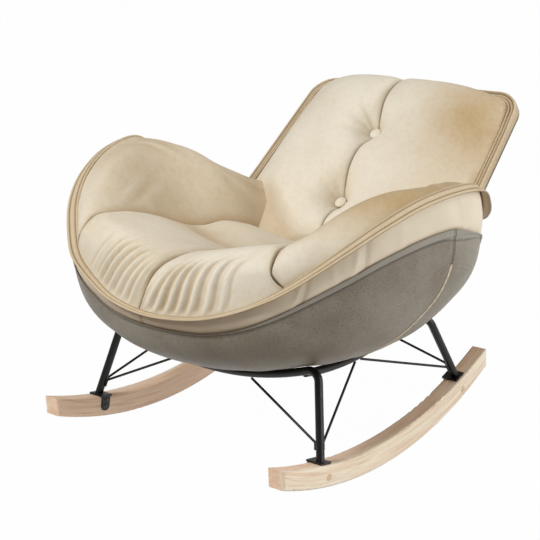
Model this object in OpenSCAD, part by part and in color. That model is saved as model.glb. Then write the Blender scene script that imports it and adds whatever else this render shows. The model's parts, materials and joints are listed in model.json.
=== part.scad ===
// Wide bucket rocking chair: two solid rocker rails, a welded tube frame, and an upholstered
// bowl seat with a separate reclined back.
// Millimetres. X runs across the chair, the sitter faces -Y, and Z is up. The origin is on the
// floor, midway between the rails, under the point on which they rest.
// Everything is laid out level, and the finished chair then leans back by rest_lean.

/* [Rocker rails] */
// Distance between the centre lines of the two rails
rail_gauge = 575; // [520:5:640]
// Width of a rail
rail_w = 38; // [30:1:50]
// Thickness of a rail at its middle
rail_t = 47; // [42:1:60]
// Length of a rail, seen from the side
rail_l = 700; // [640:5:760]
// Radius of the underside, which rolls on the floor
rail_under_r = 850; // [800:10:900]
// Radius of the top side
rail_top_r = 955; // [920:5:1000]
// Radius of the eased edges
rail_edge = 5; // [3:0.5:8]
// Angle by which the empty chair leans back when it comes to rest
rest_lean = 4.6; // [0:0.1:6]

/* [Tube frame] */
// Outer diameter of the hoops and side bars
tube_d = 16; // [14:1:20]
// Wall of the tubes
tube_wall = 1.5; // [1:0.1:3]
// Distance between the feet of the front and the rear hoop
foot_spread = 470; // [440:2:520]
// How far the middle of the frame lies behind the middle of the rails
frame_back = 16; // [0:1:40]
// Height of the crossbars' lowest point above the floor
cradle_z = 188; // [180:1:189]
// Radius of the crossbars, which cradle the bowl
cradle_r = 680; // [660:10:800]
// Height that the front crossbar climbs from its middle to its bends
front_climb = 39; // [34:1:40]
// Height that the rear crossbar climbs
rear_climb = 45; // [42:1:48]
// Radius of the bends at the top of the legs
bend_r = 22; // [18:1:28]
// Lean of the front hoop
front_lean = 18; // [14:0.5:20]
// Lean of the rear hoop
rear_lean = 27; // [22:0.5:28]
// Diameter of the brace rods
rod_d = 5; // [4:0.5:8]
// Thickness of the foot plates
plate_t = 4; // [3:0.5:6]
// Side of the square foot plates
plate_w = 30; // [28:1:40]

/* [Bowl] */
// Width of the bowl at its rim
bowl_w = 860; // [800:5:900]
// Length of the bowl at its rim, from front to back
bowl_l = 676; // [640:4:700]
// Distance of the rim's front in front of the middle of the rails
bowl_front = 341; // [320:1:360]
// Height of the rim at its front
rim_front_z = 345; // [335:1:365]
// Height of the rim at the arms
rim_arm_z = 553; // [530:1:570]
// Height of the rim at the back
rim_back_z = 402; // [390:1:410]
// Height of the bowl's underside
bowl_bottom_z = 187; // [186:0.5:195]
// Thickness of the leather cover
cover_t = 2.2; // [1.5:0.1:3]
// Thickness of the moulded inner shell
shell_t = 6; // [4:0.5:8]
// Thickness of the foam that lines the shell
liner_t = 36; // [24:1:44]
// Width of the stitched flange round the rim
flange_w = 20; // [16:1:30]
// Droop of the flange's outer edge
flange_droop = 8; // [4:0.5:12]
// Thickness of the flange
flange_t = 5; // [4:0.5:8]

/* [Seat and arms] */
// Height of the arm cushions over the line from rim to seam
arm_puff = 46; // [36:1:60]
// Height of the seat cushions over the line from the middle seam to the side seam
seat_puff = 14; // [6:1:20]
// Depth of the seams
seam_depth = 6; // [3:0.5:10]

/* [Back] */
// Angle of the back over the horizontal, laid out level
back_tilt = 37; // [34:0.5:42]
// Distance of the back's plane from the origin, along Y, at the reference height
back_y = 371; // [360:1:385]
// Reference height of the back's plane
back_z = 471; // [465:1:480]
// Width of the back at its foot
back_foot_w = 596; // [560:2:610]
// Width of the back below its top corners
back_top_w = 540; // [500:2:560]
// Reach of the back up its slope, from the reference height
back_up = 238; // [220:1:250]
// Reach of the back down its slope, from the reference height
back_down = 196; // [180:1:205]
// Radius of the back's top corners
back_corner_r = 55; // [40:1:70]
// Height of the back cushion over its border
back_puff = 88; // [70:1:100]
// Width of the border round the back cushion
border_w = 18; // [12:1:24]
// Thickness of the back's board
board_t = 8; // [6:0.5:12]
// Depth of the padded rear cover at its middle
rear_puff = 14; // [8:1:18]
// Diameter of the covered buttons
button_d = 24; // [18:1:30]

/* [Hidden] */
$fn = 48;
fit = 0.3;
seg = 22;
rows = 7;
cells = 24;
columns = 8;

// General helpers

function lerp(a, b, u) = a + (b - a) * u;
function unit(v) = v / norm(v);
function flip_x(p) = [-p[0], p[1], p[2]];
function smooth(p, q, r, s, u) = 0.5 * (2 * q + (r - p) * u + (2 * p - 5 * q + 4 * r - s) * u * u
    + (3 * q - p - 3 * r + s) * u * u * u);
// Point at parameter u of a smooth open curve through pts
function along(pts, u) = let (m = len(pts) - 1, i = min(floor(u), m - 1))
    smooth(pts[max(i - 1, 0)], pts[i], pts[i + 1], pts[min(i + 2, m)], u - i);
function flat(rows) = [for (row = rows) for (p = row) p];

function quad(a, b, c, d) = [[a, b, c], [a, c, d]];

// Closed solid between two open grids of points, the upper one first
module slab(top, under) {
    m = len(top) - 1;
    n = len(top[0]) - 1;
    w = n + 1;
    o = (m + 1) * w;
    polyhedron(concat(flat(top), flat(under)), concat(
        flat([for (i = [0:m - 1], j = [0:n - 1])
            quad(i * w + j, i * w + w + j, i * w + w + j + 1, i * w + j + 1)]),
        flat([for (i = [0:m - 1], j = [0:n - 1])
            quad(o + i * w + j, o + i * w + j + 1, o + i * w + w + j + 1, o + i * w + w + j)]),
        flat([for (j = [0:n - 1]) quad(j, j + 1, o + j + 1, o + j)]),
        flat([for (j = [0:n - 1]) quad(m * w + j, o + m * w + j, o + m * w + j + 1, m * w + j + 1)]),
        flat([for (i = [0:m - 1]) quad(i * w, o + i * w, o + i * w + w, i * w + w)]),
        flat([for (i = [0:m - 1]) quad(i * w + n, i * w + w + n, o + i * w + w + n, o + i * w + n)])));
}

// Closed solid from rings of points, with a pole at each end
module spindle(rings, first, last) {
    m = len(rings);
    n = len(rings[0]);
    polyhedron(concat([first], flat(rings), [last]), concat(
        [for (j = [0:n - 1]) [0, 1 + j, 1 + (j + 1) % n]],
        flat([for (i = [0:m - 2], j = [0:n - 1])
            quad(1 + i * n + j, 1 + i * n + n + j, 1 + i * n + n + (j + 1) % n, 1 + i * n + (j + 1) % n)]),
        [for (j = [0:n - 1]) [1 + m * n, 1 + m * n - n + (j + 1) % n, 1 + m * n - n + j]]));
}

// Closed bowl between an outer and an inner stack of rings, each with its own pole below
module bowl(outer, inner, pole_out, pole_in) {
    m = len(outer);
    n = len(outer[0]);
    o = 1 + m * n;
    polyhedron(concat([pole_out], flat(outer), [pole_in], flat(inner)), concat(
        [for (j = [0:n - 1]) [0, 1 + j, 1 + (j + 1) % n]],
        flat([for (i = [0:m - 2], j = [0:n - 1])
            quad(1 + i * n + j, 1 + i * n + n + j, 1 + i * n + n + (j + 1) % n, 1 + i * n + (j + 1) % n)]),
        [for (j = [0:n - 1]) [o, o + 1 + (j + 1) % n, o + 1 + j]],
        flat([for (i = [0:m - 2], j = [0:n - 1]) quad(o + 1 + i * n + j, o + 1 + i * n + (j + 1) % n,
            o + 1 + i * n + n + (j + 1) % n, o + 1 + i * n + n + j)]),
        flat([for (j = [0:n - 1]) quad(1 + m * n - n + j, o + 1 + m * n - n + j,
            o + 1 + m * n - n + (j + 1) % n, 1 + m * n - n + (j + 1) % n)])));
}

// Closed tube from sections of points, closed both round the section and along the tube
module loop_tube(sections) {
    m = len(sections);
    n = len(sections[0]);
    polyhedron(flat(sections), flat([for (i = [0:m - 1], j = [0:n - 1])
        quad(i * n + j, (i + 1) % m * n + j, (i + 1) % m * n + (j + 1) % n, i * n + (j + 1) % n)]));
}

// Cylinder from a to b
module bar(a, b, d) {
    v = b - a;
    translate(a)
        rotate([0, acos(v[2] / norm(v)), atan2(v[1], v[0])])
            cylinder(h = norm(v), d = d);
}

module on_side(s) {
    mirror([s < 0 ? 1 : 0, 0, 0])
        children();
}

// The whole chair rolls back on its rails by this turn about their centre
module rolled() {
    translate([0, 0, rail_under_r])
        rotate([-rest_lean, 0, 0])
            translate([0, 0, -rail_under_r])
                children();
}

// Rocker rails

function rail_top(y) = rail_t + rail_top_r - sqrt(rail_top_r * rail_top_r - y * y);
function rail_slope(y) = asin(y / rail_top_r);

// Section of a rail: its reach runs from the near edge at r, outward or inward by depth
module eased_section(r, depth) {
    hull_r = rail_w / 2 - rail_edge;
    for (s = [-1, 1])
        translate([r, s * hull_r])
            circle(r = rail_edge, $fn = 24);
    translate([r - rail_edge, -hull_r])
        square([2 * rail_edge, 2 * hull_r]);
    translate([r - (depth < 0 ? -depth : 0), -rail_w / 2])
        square([abs(depth), rail_w]);
}

module rail_ring(centre_z, r, depth) {
    translate([0, 0, centre_z])
        rotate([0, 90, 0])
            rotate_extrude($fn = 180)
                eased_section(r, depth);
}

// Plan of a rail, with rounded corners
module rail_plan() {
    for (s = [-1, 1]) {
        translate([s * (rail_w / 2 - rail_edge), 0])
            square([2 * rail_edge, rail_l - 2 * rail_edge], center = true);
        for (e = [-1, 1])
            translate([s * (rail_w / 2 - rail_edge), e * (rail_l / 2 - rail_edge)])
                circle(r = rail_edge, $fn = 24);
    }
    square([rail_w - 2 * rail_edge, rail_l], center = true);
}

foot_y = [frame_back - foot_spread / 2, frame_back + foot_spread / 2];
bolt_d = 8;
bolt_head_d = 14;
bolt_head_h = 4;
bolt_depth = 12;

module rocker_rail(s) {
    color("burlywood") rolled() on_side(s) translate([rail_gauge / 2, 0, 0]) difference() {
        intersection() {
            rail_ring(rail_under_r, rail_under_r - rail_edge, -(rail_t + rail_l / 4));
            rail_ring(rail_t + rail_top_r, rail_top_r + rail_edge, rail_t + rail_l / 4);
            translate([0, 0, -1])
                linear_extrude(rail_l / 2)
                    rail_plan();
        }
        for (y = foot_y)
            translate([0, y, rail_top(y) - rail_t / 2])
                rotate([0, 90, 0]) {
                    cylinder(h = rail_w + 2, d = bolt_d, center = true);
                    translate([0, 0, rail_w / 2 - bolt_depth])
                        cylinder(h = bolt_depth + 1, d = bolt_head_d);
                }
    }
}

// Tube frame

// A hoop lies in a leaning plane: x across, h up the plane, from the foot's height
function foot_z(i) = rail_top(foot_y[i]) + plate_t;
lean = [front_lean, -rear_lean];
arc_half = [acos(1 - front_climb / cradle_r), acos(1 - rear_climb / cradle_r)];
function cradle_h(i) = (cradle_z - foot_z(i)) / cos(lean[i]);
function arc_end(i) = on_cradle(i, arc_half[i]);
function bend_centre(i) = arc_end(i) + bend_r * [sin(arc_half[i]), -cos(arc_half[i])];
function leg_run(i) = bend_centre(i) - [rail_gauge / 2, 0];
function leg_angle(i) = atan2(leg_run(i)[1], leg_run(i)[0]) - asin(bend_r / norm(leg_run(i)));
function leg_length(i) = sqrt(norm(leg_run(i)) * norm(leg_run(i)) - bend_r * bend_r);
// Point on a leg, at a distance up it, and point on a crossbar, at an angle from its middle
function on_leg(i, l) = [rail_gauge / 2 + l * cos(leg_angle(i)), l * sin(leg_angle(i))];
function on_cradle(i, a) = [cradle_r * sin(a), cradle_h(i) + cradle_r * (1 - cos(a))];
// The same points in the level chair
function hoop_point(i, p) = [p[0], foot_y[i] + p[1] * sin(lean[i]), foot_z(i) + p[1] * cos(lean[i])];

module hoop_plane(i) {
    translate([0, foot_y[i], foot_z(i)])
        rotate([90 - lean[i], 0, 0])
            children();
}

module tube_section(r) {
    translate([r, 0])
        difference() {
            circle(d = tube_d);
            circle(d = tube_d - 2 * tube_wall);
        }
}

// Straight part of a leg, cut off along the top of its foot plate
leg_over = 8;
module leg_tube(i) {
    difference() {
        translate([0, 0, -leg_over])
            cylinder(h = leg_length(i) + leg_over, d = tube_d);
        translate([0, 0, -leg_over - 1])
            cylinder(h = leg_length(i) + leg_over + 2, d = tube_d - 2 * tube_wall);
    }
}

// Crossbar with the bends at its ends
bend_gap = 0.01;
module crossbar(i) {
    color("#1c1c1e") rolled() hoop_plane(i) {
        translate([0, cradle_h(i) + cradle_r, 0])
            rotate([0, 0, 270 - arc_half[i] + bend_gap])
                rotate_extrude(angle = 2 * (arc_half[i] - bend_gap), $fn = 180)
                    tube_section(cradle_r);
        for (s = [-1, 1])
            on_side(s)
                translate([bend_centre(i)[0], bend_centre(i)[1], 0])
                    rotate([0, 0, leg_angle(i) - 90])
                        rotate_extrude(angle = 180 + arc_half[i] - leg_angle(i), $fn = 64)
                            tube_section(bend_r);
    }
}

module leg(i, s) {
    color("#1c1c1e") rolled() on_side(s) difference() {
        hoop_plane(i)
            translate([rail_gauge / 2, 0, 0])
                rotate([0, 90, leg_angle(i)])
                    leg_tube(i);
        at_foot(i)
            translate([-plate_w, -plate_w, plate_t - 30])
                cube([2 * plate_w, 2 * plate_w, 30]);
    }
}

// Ends of a side bar lie on the inner flanks of the two crossbars, near their bends
side_x = 216;
side_sag = 20;
side_drop = 6;
function side_end(i) = let (p = hoop_point(i, on_cradle(i, asin(side_x / cradle_r))))
    [p[0], p[1] + (i == 0 ? 1 : -1) * tube_d / 2, p[2] - side_drop];
side_span = side_end(1)[1] - side_end(0)[1];
side_half = 2 * atan(2 * side_sag / side_span);
side_r = side_span / 2 / sin(side_half);
side_tilt = atan((side_end(1)[2] - side_end(0)[2]) / side_span);

module side_bar(s) {
    color("#1c1c1e") rolled() on_side(s)
        translate((side_end(0) + side_end(1)) / 2)
            rotate([side_tilt, 0, 0])
                translate([0, 0, side_r * cos(side_half)])
                    rotate([90, 0, 90])
                        rotate([0, 0, 270 - side_half])
                            rotate_extrude(angle = 2 * side_half, $fn = 180)
                                tube_section(side_r);
}

// A brace rod runs from a leg to the crossbar or to the side bar of its own corner
rod_foot = 20;
rod_weld = 14;
knee_over = 1.6;
cross_reach = 99;
side_share = 0.47;
function side_point(i, share) = let (a = side_end(i), b = side_end(1 - i))
    lerp(a, b, share) - [0, 0, 4 * side_sag * share * (1 - share) + tube_d / 2];
// The rod lies on the leg's flank for the length of its weld, and then crosses to its end
function rod_flank(i, l, n) = hoop_point(i, on_leg(i, l)) + n * ((tube_d + rod_d) / 2 + fit / 2);

module brace(i, s, to_side) {
    n = to_side ? [0, cos(lean[i]), -sin(lean[i])] * (i == 0 ? 1 : -1)
        : hoop_point(i, [-sin(leg_angle(i)), cos(leg_angle(i))]) - hoop_point(i, [0, 0]);
    foot = rod_flank(i, rod_foot, n);
    knee = rod_flank(i, rod_foot + rod_weld, n);
    head = to_side ? side_point(i, side_share) - [0, 0, (rod_d + fit) / 2]
        : hoop_point(i, on_cradle(i, asin(cross_reach / cradle_r))) - [0, 0, (tube_d + rod_d + fit) / 2];
    color("#1c1c1e") rolled() on_side(s) {
        bar(foot, knee + unit(knee - foot) * knee_over, rod_d);
        bar(knee - unit(head - knee) * knee_over, head, rod_d);
    }
}

// Foot plate: a square pad on the rail under the leg, with a rounded tab down the rail's inner side
tab_t = 3;
tab_l = 30;
tab_w = 22;
screw_d = 5;
screw_pitch = 12;

plate_lift = 0.4;
module at_foot(i) {
    translate([rail_gauge / 2, foot_y[i], rail_top(foot_y[i]) + plate_lift])
        rotate([rail_slope(foot_y[i]), 0, 0])
            children();
}

module foot_plate(i, s) {
    color("#1c1c1e") rolled() on_side(s) at_foot(i) {
        difference() {
            union() {
                translate([-rail_w / 2 - tab_t - fit, -plate_w / 2, 0])
                    cube([rail_w / 2 + tab_t + fit + plate_w / 2 - 2, plate_w, plate_t]);
                translate([-rail_w / 2 - tab_t - fit, -tab_w / 2, -tab_l + tab_w / 2])
                    cube([tab_t, tab_w, tab_l - tab_w / 2 + plate_t]);
                translate([-rail_w / 2 - tab_t - fit, 0, -tab_l + tab_w / 2])
                    rotate([0, 90, 0])
                        cylinder(h = tab_t, d = tab_w);
            }
            for (k = [0, 1])
                translate([-rail_w / 2 - tab_t - 1, 0, -tab_l + tab_w / 2 + k * screw_pitch])
                    rotate([0, 90, 0])
                        cylinder(h = tab_t + 2, d = screw_d);
        }
    }
}

module foot_screws() {
    color("dimgray") rolled()
        for (s = [-1, 1], i = [0, 1], k = [0, 1])
            on_side(s) at_foot(i)
                translate([-rail_w / 2 - tab_t - fit, 0, -tab_l + tab_w / 2 + k * screw_pitch])
                    rotate([0, -90, 0])
                        difference() {
                            cylinder(h = 2.5, d1 = screw_d + 4, d2 = screw_d + 1);
                            translate([0, 0, 1.2])
                                cylinder(h = 2, d = 3);
                        }
}

module rail_bolts() {
    color("dimgray") rolled()
        for (s = [-1, 1], i = [0, 1])
            on_side(s)
                translate([rail_gauge / 2 + rail_w / 2 - bolt_depth, foot_y[i],
                    rail_top(foot_y[i]) - rail_t / 2])
                    rotate([0, 90, 0])
                        difference() {
                            union() {
                                cylinder(h = bolt_head_h, d = bolt_head_d - 2 * fit);
                                translate([0, 0, -rail_w + bolt_depth + 1])
                                    cylinder(h = rail_w - bolt_depth, d = bolt_d - 2 * fit);
                            }
                            translate([0, 0, bolt_head_h - 2])
                                cylinder(h = 3, d = 6, $fn = 6);
                        }
}

// Bowl

// Stations round half the rim, from the middle of its front to the middle of its back: share of
// the half width, share of the length, share of the rise to the arms, drop of the grey cover's
// edge under the rim, how far that edge lies inside the rim, and fullness of the side below
stations = [
    [0, 0, 0, 28, 4, 2.5], [0.23, 0.017, 0.035, 34, 4, 2.5], [0.41, 0.05, 0.14, 40, 0, 2.5],
    [0.55, 0.083, 0.284, 46, -4, 2.45], [0.67, 0.145, 0.466, 53, -10, 2.45],
    [0.77, 0.216, 0.654, 62, -14, 2.6], [0.85, 0.306, 0.822, 70, -16, 2.65],
    [0.915, 0.42, 0.952, 79, -18, 2.65], [0.965, 0.535, 1, 86, -16, 2.45],
    [0.99, 0.635, 0.955, 93, -8, 2.1], [0.95, 0.715, 0.7, 88, 4, 2],
    [0.882, 0.786, 0.417, 80, 12, 2], [0.756, 0.87, 0.185, 74, 14, 2.05],
    [0.56, 0.94, 0.066, 70, 10, 2.15], [0.28, 0.985, 0.02, 70, 8, 2.15], [0, 1, 0, 70, 8, 2.15]];
last = len(stations) - 1;
arm_station = 8;
base_back = 30;
function station(i) = let (k = i < 0 ? -i : i > last ? 2 * last - i : i, s = stations[k],
    side = k == i ? 1 : -1, low = k > arm_station ? rim_back_z : rim_front_z)
    [side * s[0] * bowl_w / 2, s[1] * bowl_l - bowl_front, lerp(low, rim_arm_z, s[2]), s[3], s[4], s[5]];
// Rim at parameter t, from 0 in front to last at the back, on the positive side
function rim(t) = let (i = min(floor(t), last - 1))
    smooth(station(i - 1), station(i), station(i + 1), station(i + 2), t - i);
step = 0.05;
function outward(t) = let (d = rim(min(t + step, last)) - rim(max(t - step, 0)),
    v = t <= step || t >= last - step ? [1, 0] * sign(last / 2 - t) : [d[0], d[1]])
    unit([v[1], -v[0], 0]);

// A layer of the bowl at depth d: rows 0 to rows climb from the pole to the cover's edge, one
// more row is half way up the side band, and the last one is the rim
function edge_point(t, d) = let (r = rim(t)) [r[0], r[1], r[2] - r[3]] - outward(t) * (r[4] + d);
function rim_point(t, d) = let (r = rim(t)) [r[0], r[1], r[2]] - outward(t) * d * rim_taper;
rim_taper = 0.1;
band_bulge = 4;
function pole(d) = [0, base_back, bowl_bottom_z + d];
function skin(t, j, d) = j > rows + 1 ? rim_point(t, d)
    : j > rows ? lerp(edge_point(t, d), rim_point(t, d), 0.5) + outward(t) * band_bulge
    : let (a = 90 * j / rows, e = 2 / rim(t)[5], top = edge_point(t, d), low = pole(d),
        h = pow(sin(a), e), v = 1 - pow(cos(a), e))
        [lerp(low[0], top[0], h), lerp(low[1], top[1], h), lerp(low[2], top[2], v)];
function round_t(k) = last * (k <= seg ? k : 2 * seg - k) / seg;
function ring_point(k, j, d) = let (p = skin(round_t(k), j, d)) k <= seg ? p : flip_x(p);
function ring(j, d) = [for (k = [0:2 * seg - 1]) ring_point(k, j, d)];

cover_d = 0;
shell_d = cover_t;
liner_d = shell_d + shell_t;
cushion_d = liner_d + liner_t;

module layer(d, t, top) {
    bowl([for (j = [1:top]) ring(j, d)], [for (j = [1:top]) ring(j, d + t)], pole(d), pole(d + t));
}

module inner_shell() {
    color("tan") rolled() difference() {
        layer(shell_d, shell_t, rows);
        bolt_holes();
    }
}

// Plywood board that spreads the load of the bolts under the seat
seat_board_r = 140;
seat_board_y = -45;
seat_board_z = bowl_bottom_z + liner_d + 20;
seat_board_t = 12;
module board_block(grow) {
    translate([0, seat_board_y, seat_board_z - grow])
        cylinder(h = seat_board_t + 2 * grow, r = seat_board_r + grow, $fn = 64);
}

module seat_board() {
    color("peru") rolled()
        board_block(0);
}

module foam_liner() {
    color("khaki") rolled() difference() {
        layer(liner_d, liner_t, rows + 2);
        board_block(fit);
        bolt_holes();
        back_block();
        back_posts_space(fit);
    }
}

// Cover: a front and a back panel, which meet at the two zips, over a cloth under the bowl
zip_k = 12;
function zip_grid(k0, k1, j0, j1, d) = [for (j = [j0:j1]) [for (k = [k0:k1])
    ring_point((k + 2 * seg) % (2 * seg), j, d)]];

module bottom_cloth() {
    color("#26241f") rolled()
        layer(cover_d, cover_t / 2, 1);
}

module cover_panel(k0, k1) {
    slab(zip_grid(k0, k1, 1, rows, cover_d), zip_grid(k0, k1, 1, rows, cover_d + cover_t));
}

module cover_front() {
    color("#85817a") rolled() difference() {
        cover_panel(-zip_k, zip_k);
        bolt_holes();
    }
}

module cover_back() {
    color("#85817a") rolled() difference() {
        cover_panel(zip_k, 2 * seg - zip_k);
        bolt_holes();
    }
}

zip_w = 5;
zip_t = 1.2;
zip_t0 = last * zip_k / seg;
module zip(s) {
    function across(j, d) = let (p = skin(zip_t0, j, d), q = skin(zip_t0 + step, j, d), v = unit(q - p))
        [p - v * zip_w / 2, p, p + v * zip_w / 2];
    color("#d8cdb6") rolled() on_side(s)
        slab([for (j = [2:rows - 1]) across(j, -zip_t - fit)], [for (j = [2:rows - 1]) across(j, -fit)]);
}

// Cream band from the cover's edge up to the rim
module side_band() {
    color("#e4dac6") rolled() difference() {
        loop_tube([for (k = [0:2 * seg - 1])
            let (low = ring_point(k, rows, 0), mid = ring_point(k, rows + 1, 0),
                low_in = ring_point(k, rows, liner_d), mid_in = ring_point(k, rows + 1, liner_d))
                [low_in, mid_in, ring_point(k, rows + 2, liner_d), ring_point(k, rows + 2, 0), mid,
                    low, ring_point(k, rows, shell_d)]]);
        back_block();
    }
}

// Stitched flange that stands out from the rim
flange_root = 3;
module rim_flange() {
    section = [[fit, 1, 0], [flange_w * 0.5, 1, 0.4], [flange_w - 3, 1, 1], [flange_w, -flange_t / 2, 1],
        [flange_w - 3, -flange_t, 1], [flange_w * 0.5, -flange_t, 0.5], [flange_root, -flange_t, 0]];
    function droop(r) = flange_droop * (r[2] - rim_front_z) / (rim_arm_z - rim_front_z);
    color("#cbb892") rolled() difference() {
        loop_tube([for (k = [0:2 * seg - 1]) let (t = round_t(k), r = rim(t), o = outward(t))
            [for (p = section) let (q = [r[0], r[1], r[2]] + o * p[0] + [0, 0, p[1] - droop(r) * p[2]])
                k <= seg ? q : flip_x(q)]]);
        back_block();
    }
}

// Seat and arm cushions

// Middle seam of the seat: distance along Y and height, from the front rim to the back rim
mid_line = [[0, -bowl_front, rim_front_z], [0, -335, 392], [0, -308, 424], [0, -268, 434],
    [0, -222, 431], [0, -165, 417], [0, -100, 397], [0, -30, 380], [0, 40, 371], [0, 105, 362],
    [0, 160, 335], [0, 225, 322], [0, 290, 350], [0, bowl_l - bowl_front, rim_back_z]];
// Side seam between seat and arm, from the rim's station seam_front to its station seam_back
seam_front = 3.4;
seam_back = 13.6;
function plain(p) = [p[0], p[1], p[2]];
side_line = [plain(rim(seam_front)), [238, -278, 456], [229, -246, 482], [224, -200, 478],
    [222, -150, 466], [221, -90, 444], [218, -25, 413], [213, 40, 390], [205, 100, 383],
    [192, 155, 368], [178, 210, 338], [172, 262, 345], [165, 300, 380], plain(rim(seam_back))];
line_end = len(mid_line) - 1;
function mid_at(v) = along(mid_line, v * line_end);
function side_at(v) = along(side_line, v * line_end);
function rim_at(v) = plain(rim(lerp(seam_front, seam_back, v))) - outward(lerp(seam_front, seam_back, v))
    * cushion_d * rim_taper;
// Rows near the front and the back bend to follow the rim
function rim_bend(u, v) = let (front = max(0, 1 - v * 9), back = max(0, 1 - (1 - v) * 9),
    f = rim(seam_front * u), b = rim(lerp(last, seam_back, u)),
    f0 = lerp(plain(rim(0)), plain(rim(seam_front)), u), b0 = lerp(plain(rim(last)), plain(rim(seam_back)), u))
    (plain(f) - f0) * front + (plain(b) - b0) * back;
// Rows of the cushions stand closer together towards the front and the back
function row_v(i) = lerp(i / cells, 0.5 - 0.5 * cos(180 * i / cells), 0.6);
function tuck(u) = seam_depth * (exp(-u * 14) + exp((u - 1) * 14));
function ends(v) = min(1, v * 9, (1 - v) * 9);
function seat_surface(u, v) = lerp(mid_at(v), side_at(v), u) + rim_bend(u, v)
    + [0, 0, seat_puff * sin(180 * u) * max(0.1, 1 - v * 3) * ends(v)];
// The middle seam meets the front rim a little to the right of the middle
seam_shift = [24, 9];
seam_turn = 0.16;
seam_straight = 0.6;
function seam_x(v) = v < seam_turn ? lerp(seam_shift[0], seam_shift[1], v / seam_turn)
    : seam_shift[1] * max(0, 1 - (v - seam_turn) / (seam_straight - seam_turn));
function seat_point(w, v, s) = let (start = -s * seam_x(v) / side_at(v)[0], u = lerp(start, 1, w),
    p = u < 0 ? flip_x(seat_surface(-u, v)) : seat_surface(u, v)) p - [0, 0, tuck(w) * ends(v)];
function arm_swell(w) = pow(sin(180 * pow(w, 0.72)), 0.85);
function arm_point(w, v) = lerp(rim_at(v), side_at(v), w)
    + [0, 0, arm_puff * arm_swell(w) * min(1, v * 3.2, (1 - v) * 2.1)];
function dropped(grid) = [for (row = grid) [for (p = row) [p[0], p[1], bowl_bottom_z]]];

// Space inside the lined shell, open upward
module cavity() {
    lid = rim_arm_z + 2 * arm_puff;
    top = ring(rows + 2, cushion_d);
    spindle(concat([for (j = [1:rows + 2]) ring(j, cushion_d)], [[for (p = top) [p[0], p[1], lid]]]),
        pole(cushion_d), [0, base_back, lid]);
}

module seat_cushion(s) {
    top = [for (i = [0:cells]) [for (j = [0:columns]) seat_point(j / columns, row_v(i), s)]];
    color("#e9e0cd") rolled() difference() {
        intersection() {
            on_side(s)
                slab(top, dropped(top));
            cavity();
        }
        back_block();
        back_posts_space(fit);
    }
}

module arm_cushion(s) {
    top = [for (i = [1:cells - 1]) [for (j = [0:columns]) arm_point(1 - j / columns, row_v(i))]];
    color("#e9e0cd") rolled() difference() {
        intersection() {
            on_side(s)
                slab(top, dropped(top));
            cavity();
        }
        back_block();
    }
}

// Back

module back_plane() {
    translate([0, back_y, back_z])
        rotate([back_tilt, 0, 0])
            children();
}

// Half width of the back's outline, set in by inset, at a distance up its slope
function back_half(a, inset = 0) = let (r = back_corner_r - inset,
    straight = lerp(back_foot_w, back_top_w, (a + back_down) / (back_up + back_down)) / 2,
    over = max(0, a - back_up + back_corner_r))
    straight - back_corner_r + sqrt(max(0, r * r - over * over));
// Distances up the slope: n even steps to the top corners, and then steps of angle round them
function back_rows(n, inset) = concat(
    [for (i = [0:n - 1]) lerp(-back_down, back_up - back_corner_r, i / n)],
    [for (q = [0:15:90]) back_up - back_corner_r + (back_corner_r - inset) * sin(q)]);
back_cells = 16;
back_columns = 24;
tuft_a = [-121, 57];
tuft_depth = [52, 36];
tuft_r = 42;
function soft(x) = 1 - pow(min(1, abs(x)), 3.2);
function crown(x, a, inset) = let (half = back_half(a) - inset, mid = (back_up - back_down) / 2,
    reach = (back_up + back_down) / 2 - inset, side = soft(x / half), end = soft((a - mid) / reach))
    back_puff * pow(side, 0.5) * pow(end, 0.32) * lerp(0.72, 1.06, (a + back_down) / (back_up + back_down));
function middle_seam(x) = 16 * exp(-abs(x) / 9);
function tuft(x, a, k) = let (d = norm([x, a - tuft_a[k]])) tuft_depth[k] * exp(-d * d / tuft_r / tuft_r);
function back_height(x, a) = let (c = crown(x, a, border_w))
    c - min(c * 0.8, (middle_seam(x) + tuft(x, a, 0) + tuft(x, a, 1)) * c / back_puff);

// Plain space of the whole back, for the cushions round it
module back_block() {
    cut = concat([-back_down - fit], back_rows(8, 0));
    lowest = -board_t - rear_puff - rear_pad_t - cover_t - 3 * fit;
    back_plane()
        slab([for (a = cut) [for (j = [-4:4]) let (x = j / 4 * (back_half(a) + fit))
                [x, a, back_puff * 0.8]]],
            [for (a = cut) [for (j = [-4:4]) [j / 4 * (back_half(a) + fit), a, lowest]]]);
}

module back_cushion() {
    span = back_rows(back_cells, border_w + fit);
    function x_at(j, a) = back_half(a, border_w + fit) * sin(180 * j / back_columns - 90);
    top = [for (a = span) [for (j = [0:back_columns]) let (x = x_at(j, a)) [x, a, 2 + back_height(x, a)]]];
    under = [for (a = span) [for (j = [0:back_columns]) [x_at(j, a), a, fit]]];
    color("#e9e0cd") rolled() back_plane() difference() {
        slab(top, under);
        tie_holes();
    }
}

module back_outline(inset) {
    side = [for (a = back_rows(1, inset)) [back_half(a, inset), a]];
    polygon(concat(side, [for (i = [len(side) - 1:-1:0]) [-side[i][0], side[i][1]]]));
}

module back_border() {
    color("#d9c9a8") rolled() back_plane() translate([0, 0, fit])
        linear_extrude(5)
            difference() {
                back_outline(0);
                translate([0, -0.01])
                    back_outline(border_w);
            }
}

tie_d = 3;
tie_washer_d = 16;
tie_washer_t = 1.5;
tie_gap = 0.5;
module tie_holes() {
    for (k = [0, 1])
        translate([0, tuft_a[k], 0]) {
            translate([0, 0, -board_t - 20])
                cylinder(h = 160, d = tie_d + 2 * tie_gap, $fn = 16);
            translate([0, 0, button_seat(k) - fit])
                cylinder(h = 80, d = button_d + 2 * fit, $fn = 32);
        }
}

module back_board() {
    color("peru") rolled() back_plane() difference() {
        translate([0, 0, -board_t])
            linear_extrude(board_t)
                back_outline(6);
        tie_holes();
    }
}

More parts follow.
